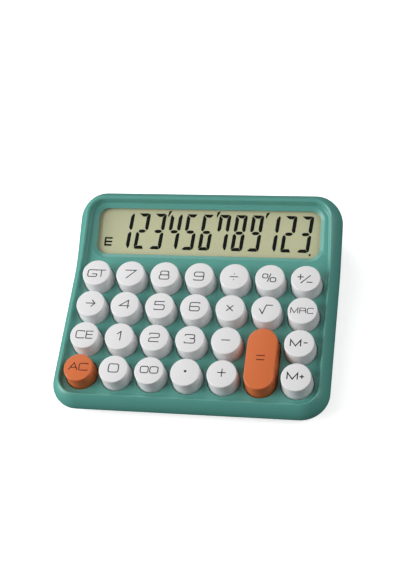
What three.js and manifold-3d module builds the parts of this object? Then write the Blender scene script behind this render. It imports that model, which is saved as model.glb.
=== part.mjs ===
import * as THREE from "three";
import { mergeVertices } from "three/addons/utils/BufferGeometryUtils.js";
import Module from "manifold-3d";

// A twelve-digit desk calculator with round keys, in millimetres.
// +X is to the right, +Y towards the display and +Z up; the part stands on Z = 0, centred on X and Y.
// The deck frame lies in the key panel: its origin is the middle of the key grid, on the panel's face.
// The display frame starts at the bend behind the last key row and leans back with the display.

const wasm = await Module();
wasm.setup();

// General clearances
const fitGap = 0.3;
const overrun = 2;

// Key grid and key caps
const keyColumns = 7;
const keyRows = 4;
const keyPitch = 19;
const keyTopRadius = 7.75;
const keyBaseRadius = 8.45;
const keyHeight = 8.5;
const keyEdge = 0.45;
const keyTravel = 2.5;
const keyHoleGap = 0.3;
const keyFlangeWidth = 0.85;
const keyFlangeThickness = 1;
const keyFacets = 16;

// Top housing: the deck with the keys, its rim and the bent-up display section
const sideMargin = 16.45;
const frontMargin = 17.4;
const bendMargin = 11.5;
const cornerRadius = 14.95;
const rimWidth = 5.5;
const rimDrop = 8.6;
const seamSkirt = 0.5;
const recessDepth = 3.3;
const recessWallRun = 0.5;
const plateThickness = 2;
const topWall = 2.2;
const displayTilt = THREE.MathUtils.degToRad(16.3);
const bendSoftness = 2.8;
const rimLeanShare = 0.12;
const cornerSteps = 6;
const rimSteps = 5;

// Display window, measured along the display section from the bend
const windowFrontGap = 5.15;
const windowHeight = 26.35;
const windowRearGap = 4.2;
const windowSideGap = 11.4;
const windowCorner = 5.5;
const bevelWidth = 2.2;
const bevelDepth = 1;
const lipThickness = 1.2;
const rearRimWidth = 6.05;

// Display glass, its holder and its ribbon
const glassBorder = 1.4;
const lensThickness = 1;
const lcdThickness = 2.4;
const lcdLedge = 2.4;
const holderWall = 0.9;
const holderFloor = 1.2;
const lensCorner = 2;
const holderRest = 3;
const earRadius = 2.3;
const holderCorner = 1.5;
const ribbonWidth = 84;
const ribbonThickness = 0.3;
const ribbonLanding = 1.6;
const ribbonSteps = 8;

// Keypad sheet and circuit board
const sheetThickness = 0.8;
const sheetMargin = 0.2;
const domeRadius = 4.6;
const domeTopRadius = 2.4;
const domeFacets = 8;
const boardThickness = 1.2;
const boardMargin = 1;
const boardTail = 4.6;
const boardCorner = 7;
const chipRadius = 7;
const chipHeight = 1.4;
const chipSteps = 3;
const chipFacets = 12;
const chipShares = [-1.5, 0.2];

// Bosses and screws
const bossRadius = 2.6;
const screwRadius = 1;
const screwHeadRadius = 2;
const screwHeadHeight = 0.8;
const boardScrewBite = 4;
const housingScrewBite = 6;
const holderScrewBite = 2.6;
const pillarWall = 1.4;
const screwSink = 1.6;
const pillarTopDepth = 1.2;
const bossFacets = 10;
const screwFacets = 8;

// Bottom housing
const wedgeAngle = THREE.MathUtils.degToRad(4);
const frontSkirtHeight = 5.7;
const baseInset = 4.95;
const seamStep = 0.4;
const baseWall = 2.6;
const baseFloor = 2;
const tongueThickness = 1.2;
const tongueHeight = 1.5;
const hookX = 30;
const hookLength = 8;
const hookReach = 0.7;
const hookRise = 0.4;
const hookHeight = 0.8;
const ribHeight = 1;
const ribThickness = 1.2;
const ribShare = 1.5;

// Battery, its bay, contacts and cover
const batteryLength = 50.5;
const batteryRadius = 7.25;
const batteryNubRadius = 2.75;
const batteryNubHeight = 1.4;
const batteryEdge = 0.6;
const batterySideGap = 0.6;
const batteryFacets = 20;
const bayWall = 1.4;
const bayHeightShare = 0.72;
const springLength = 7.6;
const springWire = 0.35;
const springEndRadius = 2.4;
const springBaseRadius = 4.6;
const springTurns = 4;
const springStepsPerTurn = 7;
const springSides = 5;
const contactThickness = 0.5;
const contactHeight = 10;
const contactWidth = 9;
const contactTab = 3;
const coverTravel = 5;
const coverLipHeight = 5.5;
const lugReach = 2;
const lugLength = 3;
const lugThickness = 1;
const lugRoot = 1.5;
const tongueWidth = 20;
const railShare = 0.95;
const gripWidth = 14;
const gripDepth = 0.6;
const gripRidge = 1.1;
const gripCount = 4;
const leadRadius = 0.55;
const leadReach = 9;
const leadDrop = 5;
const leadLanding = 2.2;
const leadSteps = 8;
const leadSides = 6;

// Rubber feet
const footRadius = 5;
const footThickness = 1.6;
const footProud = 1;
const footMargin = 11;
const footEdge = 0.4;
const footFacets = 16;

// Worked-out sizes of the deck
const gridHalfWidth = (keyPitch * (keyColumns - 1)) / 2;
const gridHalfDepth = (keyPitch * (keyRows - 1)) / 2;
const keyHoleRadius = keyBaseRadius + keyHoleGap;
const keyFlangeRadius = keyBaseRadius + keyFlangeWidth;
const deckHalfWidth = gridHalfWidth + sideMargin;
const deckFront = -gridHalfDepth - frontMargin;
const bendY = gridHalfDepth + bendMargin;
const displayLength = windowFrontGap + windowHeight + windowRearGap;
const deckRear = bendY + displayLength * Math.cos(displayTilt) + rearRimWidth;
const seamZ = recessDepth - rimDrop - seamSkirt;

// Worked-out heights of the stack under the deck
const flangeTop = -plateThickness - fitGap;
const flangeBottom = flangeTop - keyFlangeThickness;
const sheetTop = flangeBottom - keyTravel - fitGap;
const sheetBottom = sheetTop - sheetThickness;
const boardTop = sheetBottom - fitGap;
const boardBottom = boardTop - boardThickness;
const pillarTop = boardBottom - pillarTopDepth;
const pillarRadius = screwHeadRadius + fitGap + pillarWall;
const sheetHalfWidth = gridHalfWidth + keyFlangeRadius + sheetMargin;
const sheetHalfDepth = gridHalfDepth + keyFlangeRadius + sheetMargin;
const boardHalfWidth = sheetHalfWidth + boardMargin;
const boardFront = -sheetHalfDepth - boardMargin;
const boardRear = sheetHalfDepth + boardTail;
const pilotRadius = screwRadius + fitGap;
const bossHoleRadius = bossRadius + fitGap;

// Worked-out sizes of the display section
const windowHalfWidth = deckHalfWidth - windowSideGap;
const windowRear = windowFrontGap + windowHeight;
const glassHalfWidth = windowHalfWidth + glassBorder;
const glassFront = windowFrontGap - glassBorder;
const glassRear = windowRear + glassBorder;
const ledgeFront = glassFront - lcdLedge;
const lensTop = -lipThickness - fitGap;
const lensBottom = lensTop - lensThickness;
const lcdTop = lensBottom - fitGap;
const lcdBottom = lcdTop - lcdThickness;
const holderTop = -plateThickness - fitGap;
const holderBottom = lcdBottom - fitGap - holderFloor;
const pocketHalfWidth = glassHalfWidth + fitGap;
const holderHalfWidth = pocketHalfWidth + holderWall;

// Worked-out sizes of the base, in the part's frame
const deckHeight =
  footProud + frontSkirtHeight - deckFront * Math.sin(wedgeAngle) - seamZ * Math.cos(wedgeAngle);
const rearReach = deckRear * Math.cos(wedgeAngle) - seamZ * Math.sin(wedgeAngle);
const skirtTop = seamZ + seamSkirt;
const frontReach = deckFront * Math.cos(wedgeAngle) - skirtTop * Math.sin(wedgeAngle);
const deckY = -(rearReach + frontReach) / 2;
const baseTop = footProud + baseFloor;

// Materials
const plastic = (colour, roughness) =>
  new THREE.MeshStandardMaterial({ color: colour, roughness, metalness: 0, flatShading: true });
const metal = (colour, roughness) =>
  new THREE.MeshStandardMaterial({ color: colour, roughness, metalness: 1, flatShading: true });
const greenPlastic = plastic("#66a096", 0.42);
const whitePlastic = plastic("#e9e9ea", 0.5);
const orangePlastic = plastic("#dd7746", 0.5);
const clearPlastic = new THREE.MeshStandardMaterial({
  color: "#f4f6f2",
  roughness: 0.08,
  metalness: 0,
  transparent: true,
  opacity: 0.2,
});
const lcdGlass = plastic("#adb08c", 0.3);
const greyPlastic = plastic("#8f9290", 0.6);
const rubber = plastic("#3a3c3d", 0.85);
const silicone = plastic("#b9bcbc", 0.75);
const boardMaterial = plastic("#2f6b45", 0.5);
const epoxy = plastic("#191919", 0.4);
const ribbonFilm = plastic("#b98a3c", 0.45);
const steel = metal("#b4b6b8", 0.35);
const batteryWrap = plastic("#5b6066", 0.35);
const redWire = plastic("#b3312a", 0.5);
const blackWire = plastic("#1e1e20", 0.5);

// Solids, and the cuts and joins between them
function solid(geometry) {
  geometry.deleteAttribute("normal");
  geometry.deleteAttribute("uv");
  const merged = mergeVertices(geometry);
  const vertProperties = merged.attributes.position.array;
  const triVerts = new Uint32Array(merged.index.array);
  return new wasm.Manifold(new wasm.Mesh({ numProp: 3, vertProperties, triVerts }));
}

function geometryOf(shape) {
  const { vertProperties, triVerts } = shape.getMesh();
  const geometry = new THREE.BufferGeometry();
  geometry.setAttribute("position", new THREE.BufferAttribute(vertProperties, 3));
  geometry.setIndex(new THREE.BufferAttribute(triVerts, 1));
  geometry.computeVertexNormals();
  return geometry;
}

function moved(shape, matrix) {
  return solid(geometryOf(shape).applyMatrix4(matrix));
}

function joined(first, others) {
  return others.reduce((whole, other) => whole.add(other), first);
}

function cut(first, others) {
  return others.reduce((whole, other) => whole.subtract(other), first);
}

// A block between two corners, each given as [x, y, z].
function block(low, high) {
  const size = high.map((value, axis) => value - low[axis]);
  const geometry = new THREE.BoxGeometry(...size);
  return solid(geometry.translate(...low.map((value, axis) => value + size[axis] / 2)));
}

// A round post or hole along Z at [x, y], from one height to another.
function post([x, y], radius, low, high, facets = bossFacets) {
  const geometry = new THREE.CylinderGeometry(radius, radius, high - low, facets);
  return solid(geometry.rotateX(Math.PI / 2).translate(x, y, (low + high) / 2));
}

// A flat shape in the XY plane, extruded from one height to another.
// Each arc gets twice as many facets as curveSegments.
function slab(shape, low, high, curveSegments = 2) {
  const geometry = new THREE.ExtrudeGeometry(shape, {
    depth: high - low,
    bevelEnabled: false,
    curveSegments,
  });
  return solid(geometry.translate(0, 0, low));
}

// A profile in the YZ plane, extruded along X to both sides of the middle.
function bar(points, halfWidth) {
  const shape = new THREE.Shape(points.map(([y, z]) => new THREE.Vector2(y, z)));
  const geometry = new THREE.ExtrudeGeometry(shape, { depth: 2 * halfWidth, bevelEnabled: false });
  geometry.translate(0, 0, -halfWidth);
  return solid(geometry.rotateX(Math.PI / 2).rotateZ(Math.PI / 2));
}

function roundedRectangle(halfWidth, front, rear, radius) {
  const shape = new THREE.Shape();
  shape.moveTo(halfWidth - radius, front);
  shape.absarc(halfWidth - radius, front + radius, radius, -Math.PI / 2, 0);
  shape.absarc(halfWidth - radius, rear - radius, radius, 0, Math.PI / 2);
  shape.absarc(-halfWidth + radius, rear - radius, radius, Math.PI / 2, Math.PI);
  shape.absarc(-halfWidth + radius, front + radius, radius, Math.PI, 1.5 * Math.PI);
  shape.closePath();
  return shape;
}

// A body of revolution about Z from [radius, height] pairs that start and end on the axis.
function turned(profile, facets) {
  const points = profile.map(([radius, height]) => new THREE.Vector2(radius, height));
  return new THREE.LatheGeometry(points, facets).rotateX(Math.PI / 2);
}

// The right half of a rounded outline, from its front edge round to its rear edge.
// Each point carries its outward normal, and stations are further Y places along the straight side.
function halfOutline(halfWidth, front, rear, radius, stations) {
  const points = [];
  const corner = (x, y, start) => {
    for (let step = 0; step <= cornerSteps; step++) {
      const angle = start + (step / cornerSteps) * (Math.PI / 2);
      const normal = [Math.cos(angle), Math.sin(angle)];
      points.push({ x: x + radius * normal[0], y: y + radius * normal[1], normal });
    }
  };
  corner(halfWidth - radius, front + radius, -Math.PI / 2);
  for (const y of stations) points.push({ x: halfWidth, y, normal: [1, 0] });
  corner(halfWidth - radius, rear - radius, 0);
  return points;
}

// A closed solid through rings that run from the bottom up.
// A ring moves the outline inwards by inset(y) and lies at the height level(y).
// The ends are closed by strips between mirrored points, so they follow level(y) across the width.
function loft(outline, rings) {
  const half = outline.length;
  const count = 2 * half;
  const positions = [];
  for (const { inset, level } of rings) {
    const right = outline.map(({ x, y, normal }) => {
      const move = inset(y);
      const placedY = y - move * normal[1];
      return [x - move * normal[0], placedY, level(placedY)];
    });
    const left = right.map(([x, y, z]) => [-x, y, z]).reverse();
    positions.push(...right.flat(), ...left.flat());
  }
  const index = [];
  for (let ring = 0; ring < rings.length - 1; ring++) {
    for (let place = 0; place < count; place++) {
      const next = (place + 1) % count;
      const low = ring * count;
      const high = low + count;
      index.push(low + place, low + next, high + next, low + place, high + next, high + place);
    }
  }
  const top = (rings.length - 1) * count;
  for (let place = 0; place < half - 1; place++) {
    const strip = [place, place + 1, count - 2 - place, count - 1 - place];
    const [a, b, c, d] = strip.map((value) => value + top);
    index.push(a, b, c, a, c, d);
    const [e, f, g, h] = strip;
    index.push(e, g, f, e, h, g);
  }
  const geometry = new THREE.BufferGeometry();
  geometry.setAttribute("position", new THREE.Float32BufferAttribute(positions, 3));
  geometry.setIndex(index);
  return solid(geometry);
}

// The deck's frame in the part's frame, and the display's frame in the deck's
const deckMatrix = new THREE.Matrix4()
  .makeTranslation(0, deckY, deckHeight)
  .multiply(new THREE.Matrix4().makeRotationX(wedgeAngle));
const deckToBase = (shape) => moved(shape, deckMatrix);
const displayMatrix = new THREE.Matrix4()
  .makeTranslation(0, bendY, 0)
  .multiply(new THREE.Matrix4().makeRotationX(displayTilt));
const displayToDeck = (shape) => moved(shape, displayMatrix);

// Height of the deck's face: flat under the keys, then a soft bend up to the display
function deckFace(y) {
  return Math.tan(displayTilt) * bendSoftness * Math.log1p(Math.exp((y - bendY) / bendSoftness));
}

// Underside of the base, a plane level with the surface the part stands on, in the deck's frame
function basePlane(y, height) {
  return (height - deckHeight - y * Math.sin(wedgeAngle)) / Math.cos(wedgeAngle);
}

const bendStationShares = [-4, -2, -1, 0, 1, 2, 4];
const bendStations = bendStationShares.map((share) => bendY + share * bendSoftness);
const deckOutline = halfOutline(deckHalfWidth, deckFront, deckRear, cornerRadius, bendStations);
const lean = (y) => rimLeanShare * deckFace(y);

// Places of the bosses between the keys, in shares of the key pitch
const housingScrewShares = [
  [-2.5, 1],
  [2.5, 1],
  [-0.5, -1],
  [0.5, -1],
];
const boardScrewShares = [
  [-0.5, 1],
  [0.5, 1],
  [-2.5, 0],
  [2.5, 0],
  [-2.5, -1],
];
const inPitches = ([x, y]) => [x * keyPitch, y * keyPitch];
const housingScrews = housingScrewShares.map(inPitches);
const boardScrews = boardScrewShares.map(inPitches);

// Keys, row by row from the display; the tall equals key fills two rows of its column
const keyRowNames = [
  ["grand_total", "7", "8", "9", "divide", "percent", "sign"],
  ["back", "4", "5", "6", "multiply", "root", "memory_recall"],
  ["clear_entry", "1", "2", "3", "minus", "equals", "memory_minus"],
  ["all_clear", "0", "00", "point", "plus", "", "memory_plus"],
];
const orangeKeys = ["all_clear", "equals"];
const keyPlaces = keyRowNames.flatMap((names, row) =>
  names.map((name, column) => ({
    name,
    x: column * keyPitch - gridHalfWidth,
    y: gridHalfDepth - row * keyPitch,
    stretch: name === "equals" ? keyPitch : 0,
  })),
);
const keys = keyPlaces.filter(({ name }) => name);

const keyProfile = [
  [0, flangeBottom],
  [keyFlangeRadius, flangeBottom],
  [keyFlangeRadius, flangeTop],
  [keyBaseRadius, flangeTop],
  [keyTopRadius, keyHeight - keyEdge],
  [keyTopRadius - keyEdge, keyHeight],
  [0, keyHeight],
];

// A key cap of revolution, or one drawn out along Y towards the front by stretch.
function keyCap(stretch) {
  const geometry = turned(keyProfile, keyFacets);
  if (!stretch) return geometry;
  const halves = [geometry.clone(), geometry.clone().translate(0, -stretch, 0)].map(solid);
  const section = keyProfile.slice(1, -1);
  const across = [...section, ...section.map(([radius, height]) => [-radius, height]).reverse()];
  const shape = new THREE.Shape(across.map(([x, z]) => new THREE.Vector2(x, z)));
  const middle = new THREE.ExtrudeGeometry(shape, { depth: stretch, bevelEnabled: false });
  return geometryOf(joined(solid(middle.rotateX(Math.PI / 2)), halves));
}

// The hole or dome outline of one key: a circle, or a slot for the tall key.
function keyOutline({ x, y, stretch }, radius) {
  const shape = new THREE.Shape();
  shape.absarc(x, y, radius, 0, Math.PI);
  shape.absarc(x, y - stretch, radius, Math.PI, 2 * Math.PI);
  shape.closePath();
  return shape;
}

function topHousing() {
  const quarter = (step) => (step / rimSteps) * (Math.PI / 2);
  const rimRings = [];
  for (let step = rimSteps; step >= 0; step--) {
    rimRings.push({
      inset: (y) => lean(y) + rimWidth * (1 - Math.sin(quarter(step))),
      level: (y) => deckFace(y) + recessDepth - rimDrop * (1 - Math.cos(quarter(step))),
    });
  }
  const outer = loft(deckOutline, [{ inset: () => 0, level: () => seamZ }, ...rimRings]);
  const recess = loft(deckOutline, [
    { inset: (y) => lean(y) + rimWidth + recessWallRun, level: deckFace },
    { inset: (y) => lean(y) + rimWidth, level: (y) => deckFace(y) + recessDepth },
    { inset: (y) => lean(y) + rimWidth, level: (y) => deckFace(y) + recessDepth + overrun },
  ]);
  const hollow = loft(deckOutline, [
    { inset: () => topWall, level: () => seamZ - overrun },
    { inset: () => topWall, level: () => seamZ + tongueHeight + fitGap },
    { inset: (y) => topWall + lean(y), level: (y) => deckFace(y) - plateThickness },
  ]);
  const keyHoles = keys.map((key) =>
    slab(keyOutline(key, keyHoleRadius), -plateThickness - overrun, overrun, keyFacets / 4),
  );
  const bosses = [
    ...housingScrews.map((place) => bossTube(place, pillarTop + fitGap, housingScrewBite)),
    ...boardScrews.map((place) => bossTube(place, boardTop + fitGap, boardScrewBite)),
  ];
  const shell = cut(outer, [recess, hollow, ...keyHoles, ...windowCuts(), ...hookBlocks(fitGap)]);
  return joined(shell, [...bosses, ...holderBosses()]);
}

// A boss under the deck with a pilot hole of the screw's depth in its end.
function bossTube(place, end, depth) {
  const tube = post(place, bossRadius, end, -plateThickness / 2);
  return tube.subtract(post(place, pilotRadius, end - overrun, end + depth, screwFacets));
}

function windowCuts() {
  const front = windowFrontGap - bevelWidth;
  const rear = windowRear + bevelWidth;
  const halfWidth = windowHalfWidth + bevelWidth;
  const outline = halfOutline(halfWidth, front, rear, windowCorner + bevelWidth, []);
  const bevel = loft(outline, [
    { inset: () => bevelWidth, level: () => -lipThickness - overrun },
    { inset: () => bevelWidth, level: () => -bevelDepth },
    { inset: () => 0, level: () => 0 },
    { inset: () => 0, level: () => overrun },
  ]);
  const pocket = block(
    [-pocketHalfWidth, ledgeFront - fitGap, -lipThickness - plateThickness - overrun],
    [pocketHalfWidth, glassRear + fitGap, -lipThickness],
  );
  return [bevel, pocket].map(displayToDeck);
}

// Ears at both ends of the display holder, and the bosses they are screwed to
const earX = holderHalfWidth + fitGap + earRadius;
const earY = (windowFrontGap + windowRear) / 2;
const earPlaces = [
  [-earX, earY],
  [earX, earY],
];
const earTop = holderBottom + holderFloor;
const holderBossEnd = earTop + fitGap;

function holderBosses() {
  return earPlaces.map((place) => {
    const tube = post(place, earRadius, holderBossEnd, -plateThickness / 2);
    const end = holderBossEnd + holderScrewBite;
    const pilot = post(place, pilotRadius, holderBossEnd - overrun, end, screwFacets);
    return displayToDeck(tube.subtract(pilot));
  });
}

// Small blocks on the base's tongue that snap into pockets in the top housing's walls
function hookBlocks(gap) {
  const low = seamZ + hookRise - gap;
  const high = seamZ + hookRise + hookHeight + gap;
  const tongueFace = topWall + fitGap;
  return [-hookX, hookX].flatMap((x) =>
    [
      [deckFront + tongueFace - hookReach - gap, deckFront + tongueFace + tongueThickness / 2],
      [deckRear - tongueFace - tongueThickness / 2, deckRear - tongueFace + hookReach + gap],
    ].map(([front, rear]) =>
      block([x - hookLength / 2 - gap, front, low], [x + hookLength / 2 + gap, rear, high]),
    ),
  );
}

// Display parts, in the display's frame
function displayLens() {
  const outline = roundedRectangle(glassHalfWidth, glassFront, glassRear, lensCorner);
  return slab(outline, lensBottom, lensTop);
}

function lcdPanel() {
  const middle = (lcdTop + lcdBottom) / 2;
  const points = [
    [ledgeFront, lcdTop],
    [ledgeFront, middle],
    [glassFront, middle],
    [glassFront, lcdBottom],
    [glassRear, lcdBottom],
    [glassRear, lcdTop],
  ];
  return bar(points, glassHalfWidth);
}

function lcdHolder() {
  const pocketFront = ledgeFront - fitGap;
  const pocketRear = glassRear + fitGap;
  const outline = roundedRectangle(
    holderHalfWidth,
    pocketFront - holderWall,
    pocketRear + holderWall,
    holderCorner,
  );
  const body = slab(outline, holderBottom, holderTop);
  const pocket = block(
    [-pocketHalfWidth, pocketFront, earTop],
    [pocketHalfWidth, pocketRear, holderTop + overrun],
  );
  const opening = block(
    [-glassHalfWidth + holderRest, glassFront + holderRest, holderBottom - overrun],
    [glassHalfWidth - holderRest, glassRear - holderRest, holderTop],
  );
  const ribbonSlot = block(
    [-ribbonWidth / 2 - fitGap, pocketFront - holderWall - overrun, holderBottom - overrun],
    [ribbonWidth / 2 + fitGap, glassFront, holderTop + overrun],
  );
  const ears = earPlaces.map((place) => post(place, earRadius, holderBottom, earTop));
  const earBridge = block(
    [-earX, earY - earRadius, holderBottom],
    [earX, earY + earRadius, earTop],
  );
  const holes = earPlaces.map((place) =>
    post(place, pilotRadius, holderBottom - overrun, earTop + overrun, screwFacets),
  );
  return cut(joined(body, [earBridge, ...ears]), [pocket, opening, ribbonSlot, ...holes]);
}

// A thin flexible strip across X that follows a curve drawn in the YZ plane.
function displayRibbon() {
  const ledge = new THREE.Vector3(
    0,
    (ledgeFront + glassFront) / 2,
    (lcdTop + lcdBottom) / 2 - fitGap - ribbonThickness / 2,
  ).applyMatrix4(displayMatrix);
  const start = new THREE.Vector2(ledge.y, ledge.z);
  const end = new THREE.Vector2(
    sheetHalfDepth + ribbonLanding,
    boardTop + fitGap + ribbonThickness / 2,
  );
  const reach = (start.x - end.x) / 2;
  const direction = new THREE.Vector2(-Math.cos(displayTilt), -Math.sin(displayTilt));
  const path = new THREE.CubicBezierCurve(
    start,
    start.clone().addScaledVector(direction, reach),
    new THREE.Vector2(end.x + reach, end.y),
    end,
  );
  const sides = [[], []];
  for (let step = 0; step <= ribbonSteps; step++) {
    const point = path.getPoint(step / ribbonSteps);
    const tangent = path.getTangent(step / ribbonSteps);
    for (const [side, list] of [[1, sides[0]], [-1, sides[1]]]) {
      const offset = (side * ribbonThickness) / 2;
      list.push([point.x - tangent.y * offset, point.y + tangent.x * offset]);
    }
  }
  return bar([...sides[0], ...sides[1].reverse()], ribbonWidth / 2);
}

// Silicone sheet with one dome under each key, and two under the tall one
function keypadSheet() {
  const outline = roundedRectangle(sheetHalfWidth, -sheetHalfDepth, sheetHalfDepth, domeRadius);
  const sheet = slab(outline, sheetBottom, sheetTop);
  const height = flangeBottom - fitGap - sheetTop + sheetThickness / 2;
  const places = keys.flatMap(({ x, y, stretch }) => (stretch ? [[x, y], [x, y - stretch]] : [[x, y]]));
  const domes = places.map(([x, y]) => {
    const cone = new THREE.CylinderGeometry(domeTopRadius, domeRadius, height, domeFacets);
    cone.rotateX(Math.PI / 2).translate(x, y, sheetTop - sheetThickness / 2 + height / 2);
    return solid(cone);
  });
  const holes = [...housingScrews, ...boardScrews].map((place) =>
    post(place, bossHoleRadius, sheetBottom - overrun, sheetTop + overrun),
  );
  return cut(joined(sheet, domes), holes);
}

function circuitBoard() {
  const outline = roundedRectangle(boardHalfWidth, boardFront, boardRear, boardCorner);
  const board = slab(outline, boardBottom, boardTop);
  const bossHoles = housingScrews.map((place) =>
    post(place, bossHoleRadius, boardBottom - overrun, boardTop + overrun),
  );
  const screwHoles = boardScrews.map((place) =>
    post(place, pilotRadius, boardBottom - overrun, boardTop + overrun, screwFacets),
  );
  return cut(board, [...bossHoles, ...screwHoles]);
}

// The sealed controller, a low dome under the board
function controllerChip() {
  const top = boardBottom - fitGap;
  const profile = [[0, top - chipHeight]];
  for (let step = 1; step <= chipSteps; step++) {
    const angle = (step / chipSteps) * (Math.PI / 2);
    profile.push([chipRadius * Math.sin(angle), top - chipHeight * Math.cos(angle)]);
  }
  profile.push([0, top]);
  return turned(profile, chipFacets).translate(...inPitches(chipShares), 0);
}

// A screw with its head below the seat and its tip up in a boss.
function screw([x, y], seat, tip) {
  const profile = [
    [0, seat - screwHeadHeight],
    [screwHeadRadius, seat - screwHeadHeight],
    [screwHeadRadius, seat],
    [screwRadius, seat],
    [screwRadius, tip],
    [0, tip],
  ];
  return turned(profile, screwFacets).translate(x, y, 0);
}

const boardScrewSeat = boardBottom - fitGap;
const boardScrewTip = boardTop + boardScrewBite;
const pillarSeat = (y) => basePlane(y, footProud) + screwSink;
const housingScrewTip = pillarTop + housingScrewBite;
const holderScrewSeat = holderBottom - fitGap;
const holderScrewTip = earTop + holderScrewBite;

// Bottom housing, first in the deck's frame and then in the part's
const baseRingShares = [
  { insetShare: 1, depthShare: 1 },
  { insetShare: 0.72, depthShare: 0.82 },
  { insetShare: 0, depthShare: 0 },
];
const seamBottom = seamZ - fitGap;
const baseSteps = baseInset - seamStep;
const innerFootInset = baseInset + baseFloor / 2;

function baseOuter() {
  return loft(
    deckOutline,
    baseRingShares.map(({ insetShare, depthShare }) => ({
      inset: () => seamStep + baseSteps * insetShare,
      level: (y) => seamBottom + (basePlane(y, footProud) - seamBottom) * depthShare,
    })),
  );
}

function baseInner() {
  return loft(deckOutline, [
    { inset: () => innerFootInset, level: (y) => basePlane(y, baseTop) },
    { inset: () => seamStep + baseWall, level: () => seamBottom },
    { inset: () => seamStep + baseWall, level: () => seamBottom + overrun },
  ]);
}

function seamTongue() {
  const ring = (inset, extra) =>
    loft(deckOutline, [
      { inset: () => inset, level: () => seamBottom - tongueHeight - extra },
      { inset: () => inset, level: () => seamZ + tongueHeight + extra },
    ]);
  const outerInset = topWall + fitGap;
  return ring(outerInset, 0).subtract(ring(outerInset + tongueThickness, overrun));
}

const toBaseY = (y, z) => deckY + y * Math.cos(wedgeAngle) - z * Math.sin(wedgeAngle);
const floorEdgeY = (y, height) => toBaseY(y, basePlane(y, height));

// Battery bay and cover, in the part's frame; the battery lies along X with its cap end at the left
const bayHalfLength = (batteryLength + contactThickness + springLength) / 2 + 2 * fitGap;
const bayRear = floorEdgeY(deckRear - innerFootInset, baseTop);
const bayY = bayRear - batterySideGap - batteryRadius;
const bayFront = bayY - batteryRadius - batterySideGap;
const coverHalfWidth = bayHalfLength - 2 * fitGap;
const coverTop = footProud + coverLipHeight;
const lugLow = baseTop + fitGap;
const lugHigh = lugLow + lugThickness;
const batteryZ = lugHigh + fitGap + batteryRadius;
const batteryCapX = -bayHalfLength + 2 * fitGap + contactThickness;
const batteryEndX = batteryCapX + batteryLength;
const lugFront = bayFront + batterySideGap;
const lugRear = lugFront + lugLength;

// The space of the cover, grown by a gap on every side.
function coverSpace(gap) {
  return block(
    [-coverHalfWidth - gap, bayFront + fitGap - gap, -overrun],
    [coverHalfWidth + gap, bayRear + batteryRadius, coverTop + gap],
  );
}

function coverLugs() {
  const tongue = block(
    [-tongueWidth / 2, bayFront - lugReach, lugLow],
    [tongueWidth / 2, lugRear, lugHigh],
  );
  const tongueRoot = block(
    [-tongueWidth / 2, bayFront + fitGap, baseTop - baseFloor / 2],
    [tongueWidth / 2, lugRear, lugHigh],
  );
  const sides = [-1, 1].flatMap((side) => {
    const inner = side * (coverHalfWidth - lugRoot);
    const edge = side * coverHalfWidth;
    const outer = side * (coverHalfWidth + lugReach);
    return [
      span(inner, outer, [lugFront, lugRear], [lugLow, lugHigh]),
      span(inner, edge, [lugFront, lugRear], [baseTop - baseFloor / 2, lugHigh]),
    ];
  });
  return [tongue, tongueRoot, ...sides];
}

// A block between two X places in either order.
function span(x1, x2, [front, rear], [low, high]) {
  return block([Math.min(x1, x2), front, low], [Math.max(x1, x2), rear, high]);
}

// Grooves that give the thumb a grip on the underside of the cover
function gripGrooves() {
  const middle = (bayFront + bayRear) / 2;
  return Array.from({ length: gripCount }, (_, place) => {
    const front = middle + (place - gripCount / 2) * 2 * gripRidge;
    return block(
      [-gripWidth / 2, front, -overrun],
      [gripWidth / 2, front + gripRidge, footProud + gripDepth],
    );
  });
}

// Rails inside the cover, as high as its tongue, that the battery lies on
function coverRails() {
  const low = baseTop - baseFloor / 2;
  return [-1, 1].map((side) => {
    const x = side * keyPitch * railShare;
    return block(
      [x - ribThickness / 2, lugFront, low],
      [x + ribThickness / 2, bayRear - batterySideGap, lugHigh],
    );
  });
}

function batteryCover(shell) {
  const plate = shell.intersect(coverSpace(0));
  return cut(joined(plate, [...coverLugs(), ...coverRails()]), gripGrooves());
}

// Ways for the cover's lugs: channels over the floor, and notches where they drop out
function lugWays() {
  return [-1, 1].flatMap((side) => {
    const inner = side * coverHalfWidth;
    const outer = side * (coverHalfWidth + lugReach + fitGap);
    const channel = [lugFront - fitGap, lugRear + coverTravel + fitGap];
    const notch = [lugFront + coverTravel - fitGap, lugRear + coverTravel + fitGap];
    return [
      span(inner, outer, channel, [baseTop, lugHigh + fitGap]),
      span(inner, outer, notch, [-overrun, lugHigh + fitGap]),
    ];
  });
}

function bayWalls() {
  const top = baseTop + 2 * batteryRadius * bayHeightShare;
  const low = baseTop - baseFloor / 2;
  const outer = bayHalfLength + bayWall;
  const front = block([-outer, bayFront - bayWall, low], [outer, bayFront, top]);
  const tongueWay = block(
    [-tongueWidth / 2 - fitGap, bayFront - lugReach - fitGap, baseTop],
    [tongueWidth / 2 + fitGap, bayFront + overrun, lugHigh + fitGap],
  );
  const ends = [-1, 1].map((side) =>
    span(side * bayHalfLength, side * outer, [bayFront - bayWall, bayRear + fitGap], [low, top]),
  );
  return joined(front.subtract(tongueWay), ends);
}

// Pillars that take the housing screws, square to the deck
function pillars() {
  return housingScrews.map((place) =>
    post(place, pillarRadius, basePlane(place[1], footProud + baseFloor / 2), pillarTop),
  );
}

function pillarHoles() {
  return housingScrews.flatMap((place) => {
    const bottom = basePlane(place[1], footProud) - overrun;
    return [
      post(place, pilotRadius, bottom, pillarTop + overrun, screwFacets),
      post(place, screwHeadRadius + fitGap, bottom, pillarSeat(place[1]), screwFacets),
    ];
  });
}

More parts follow.
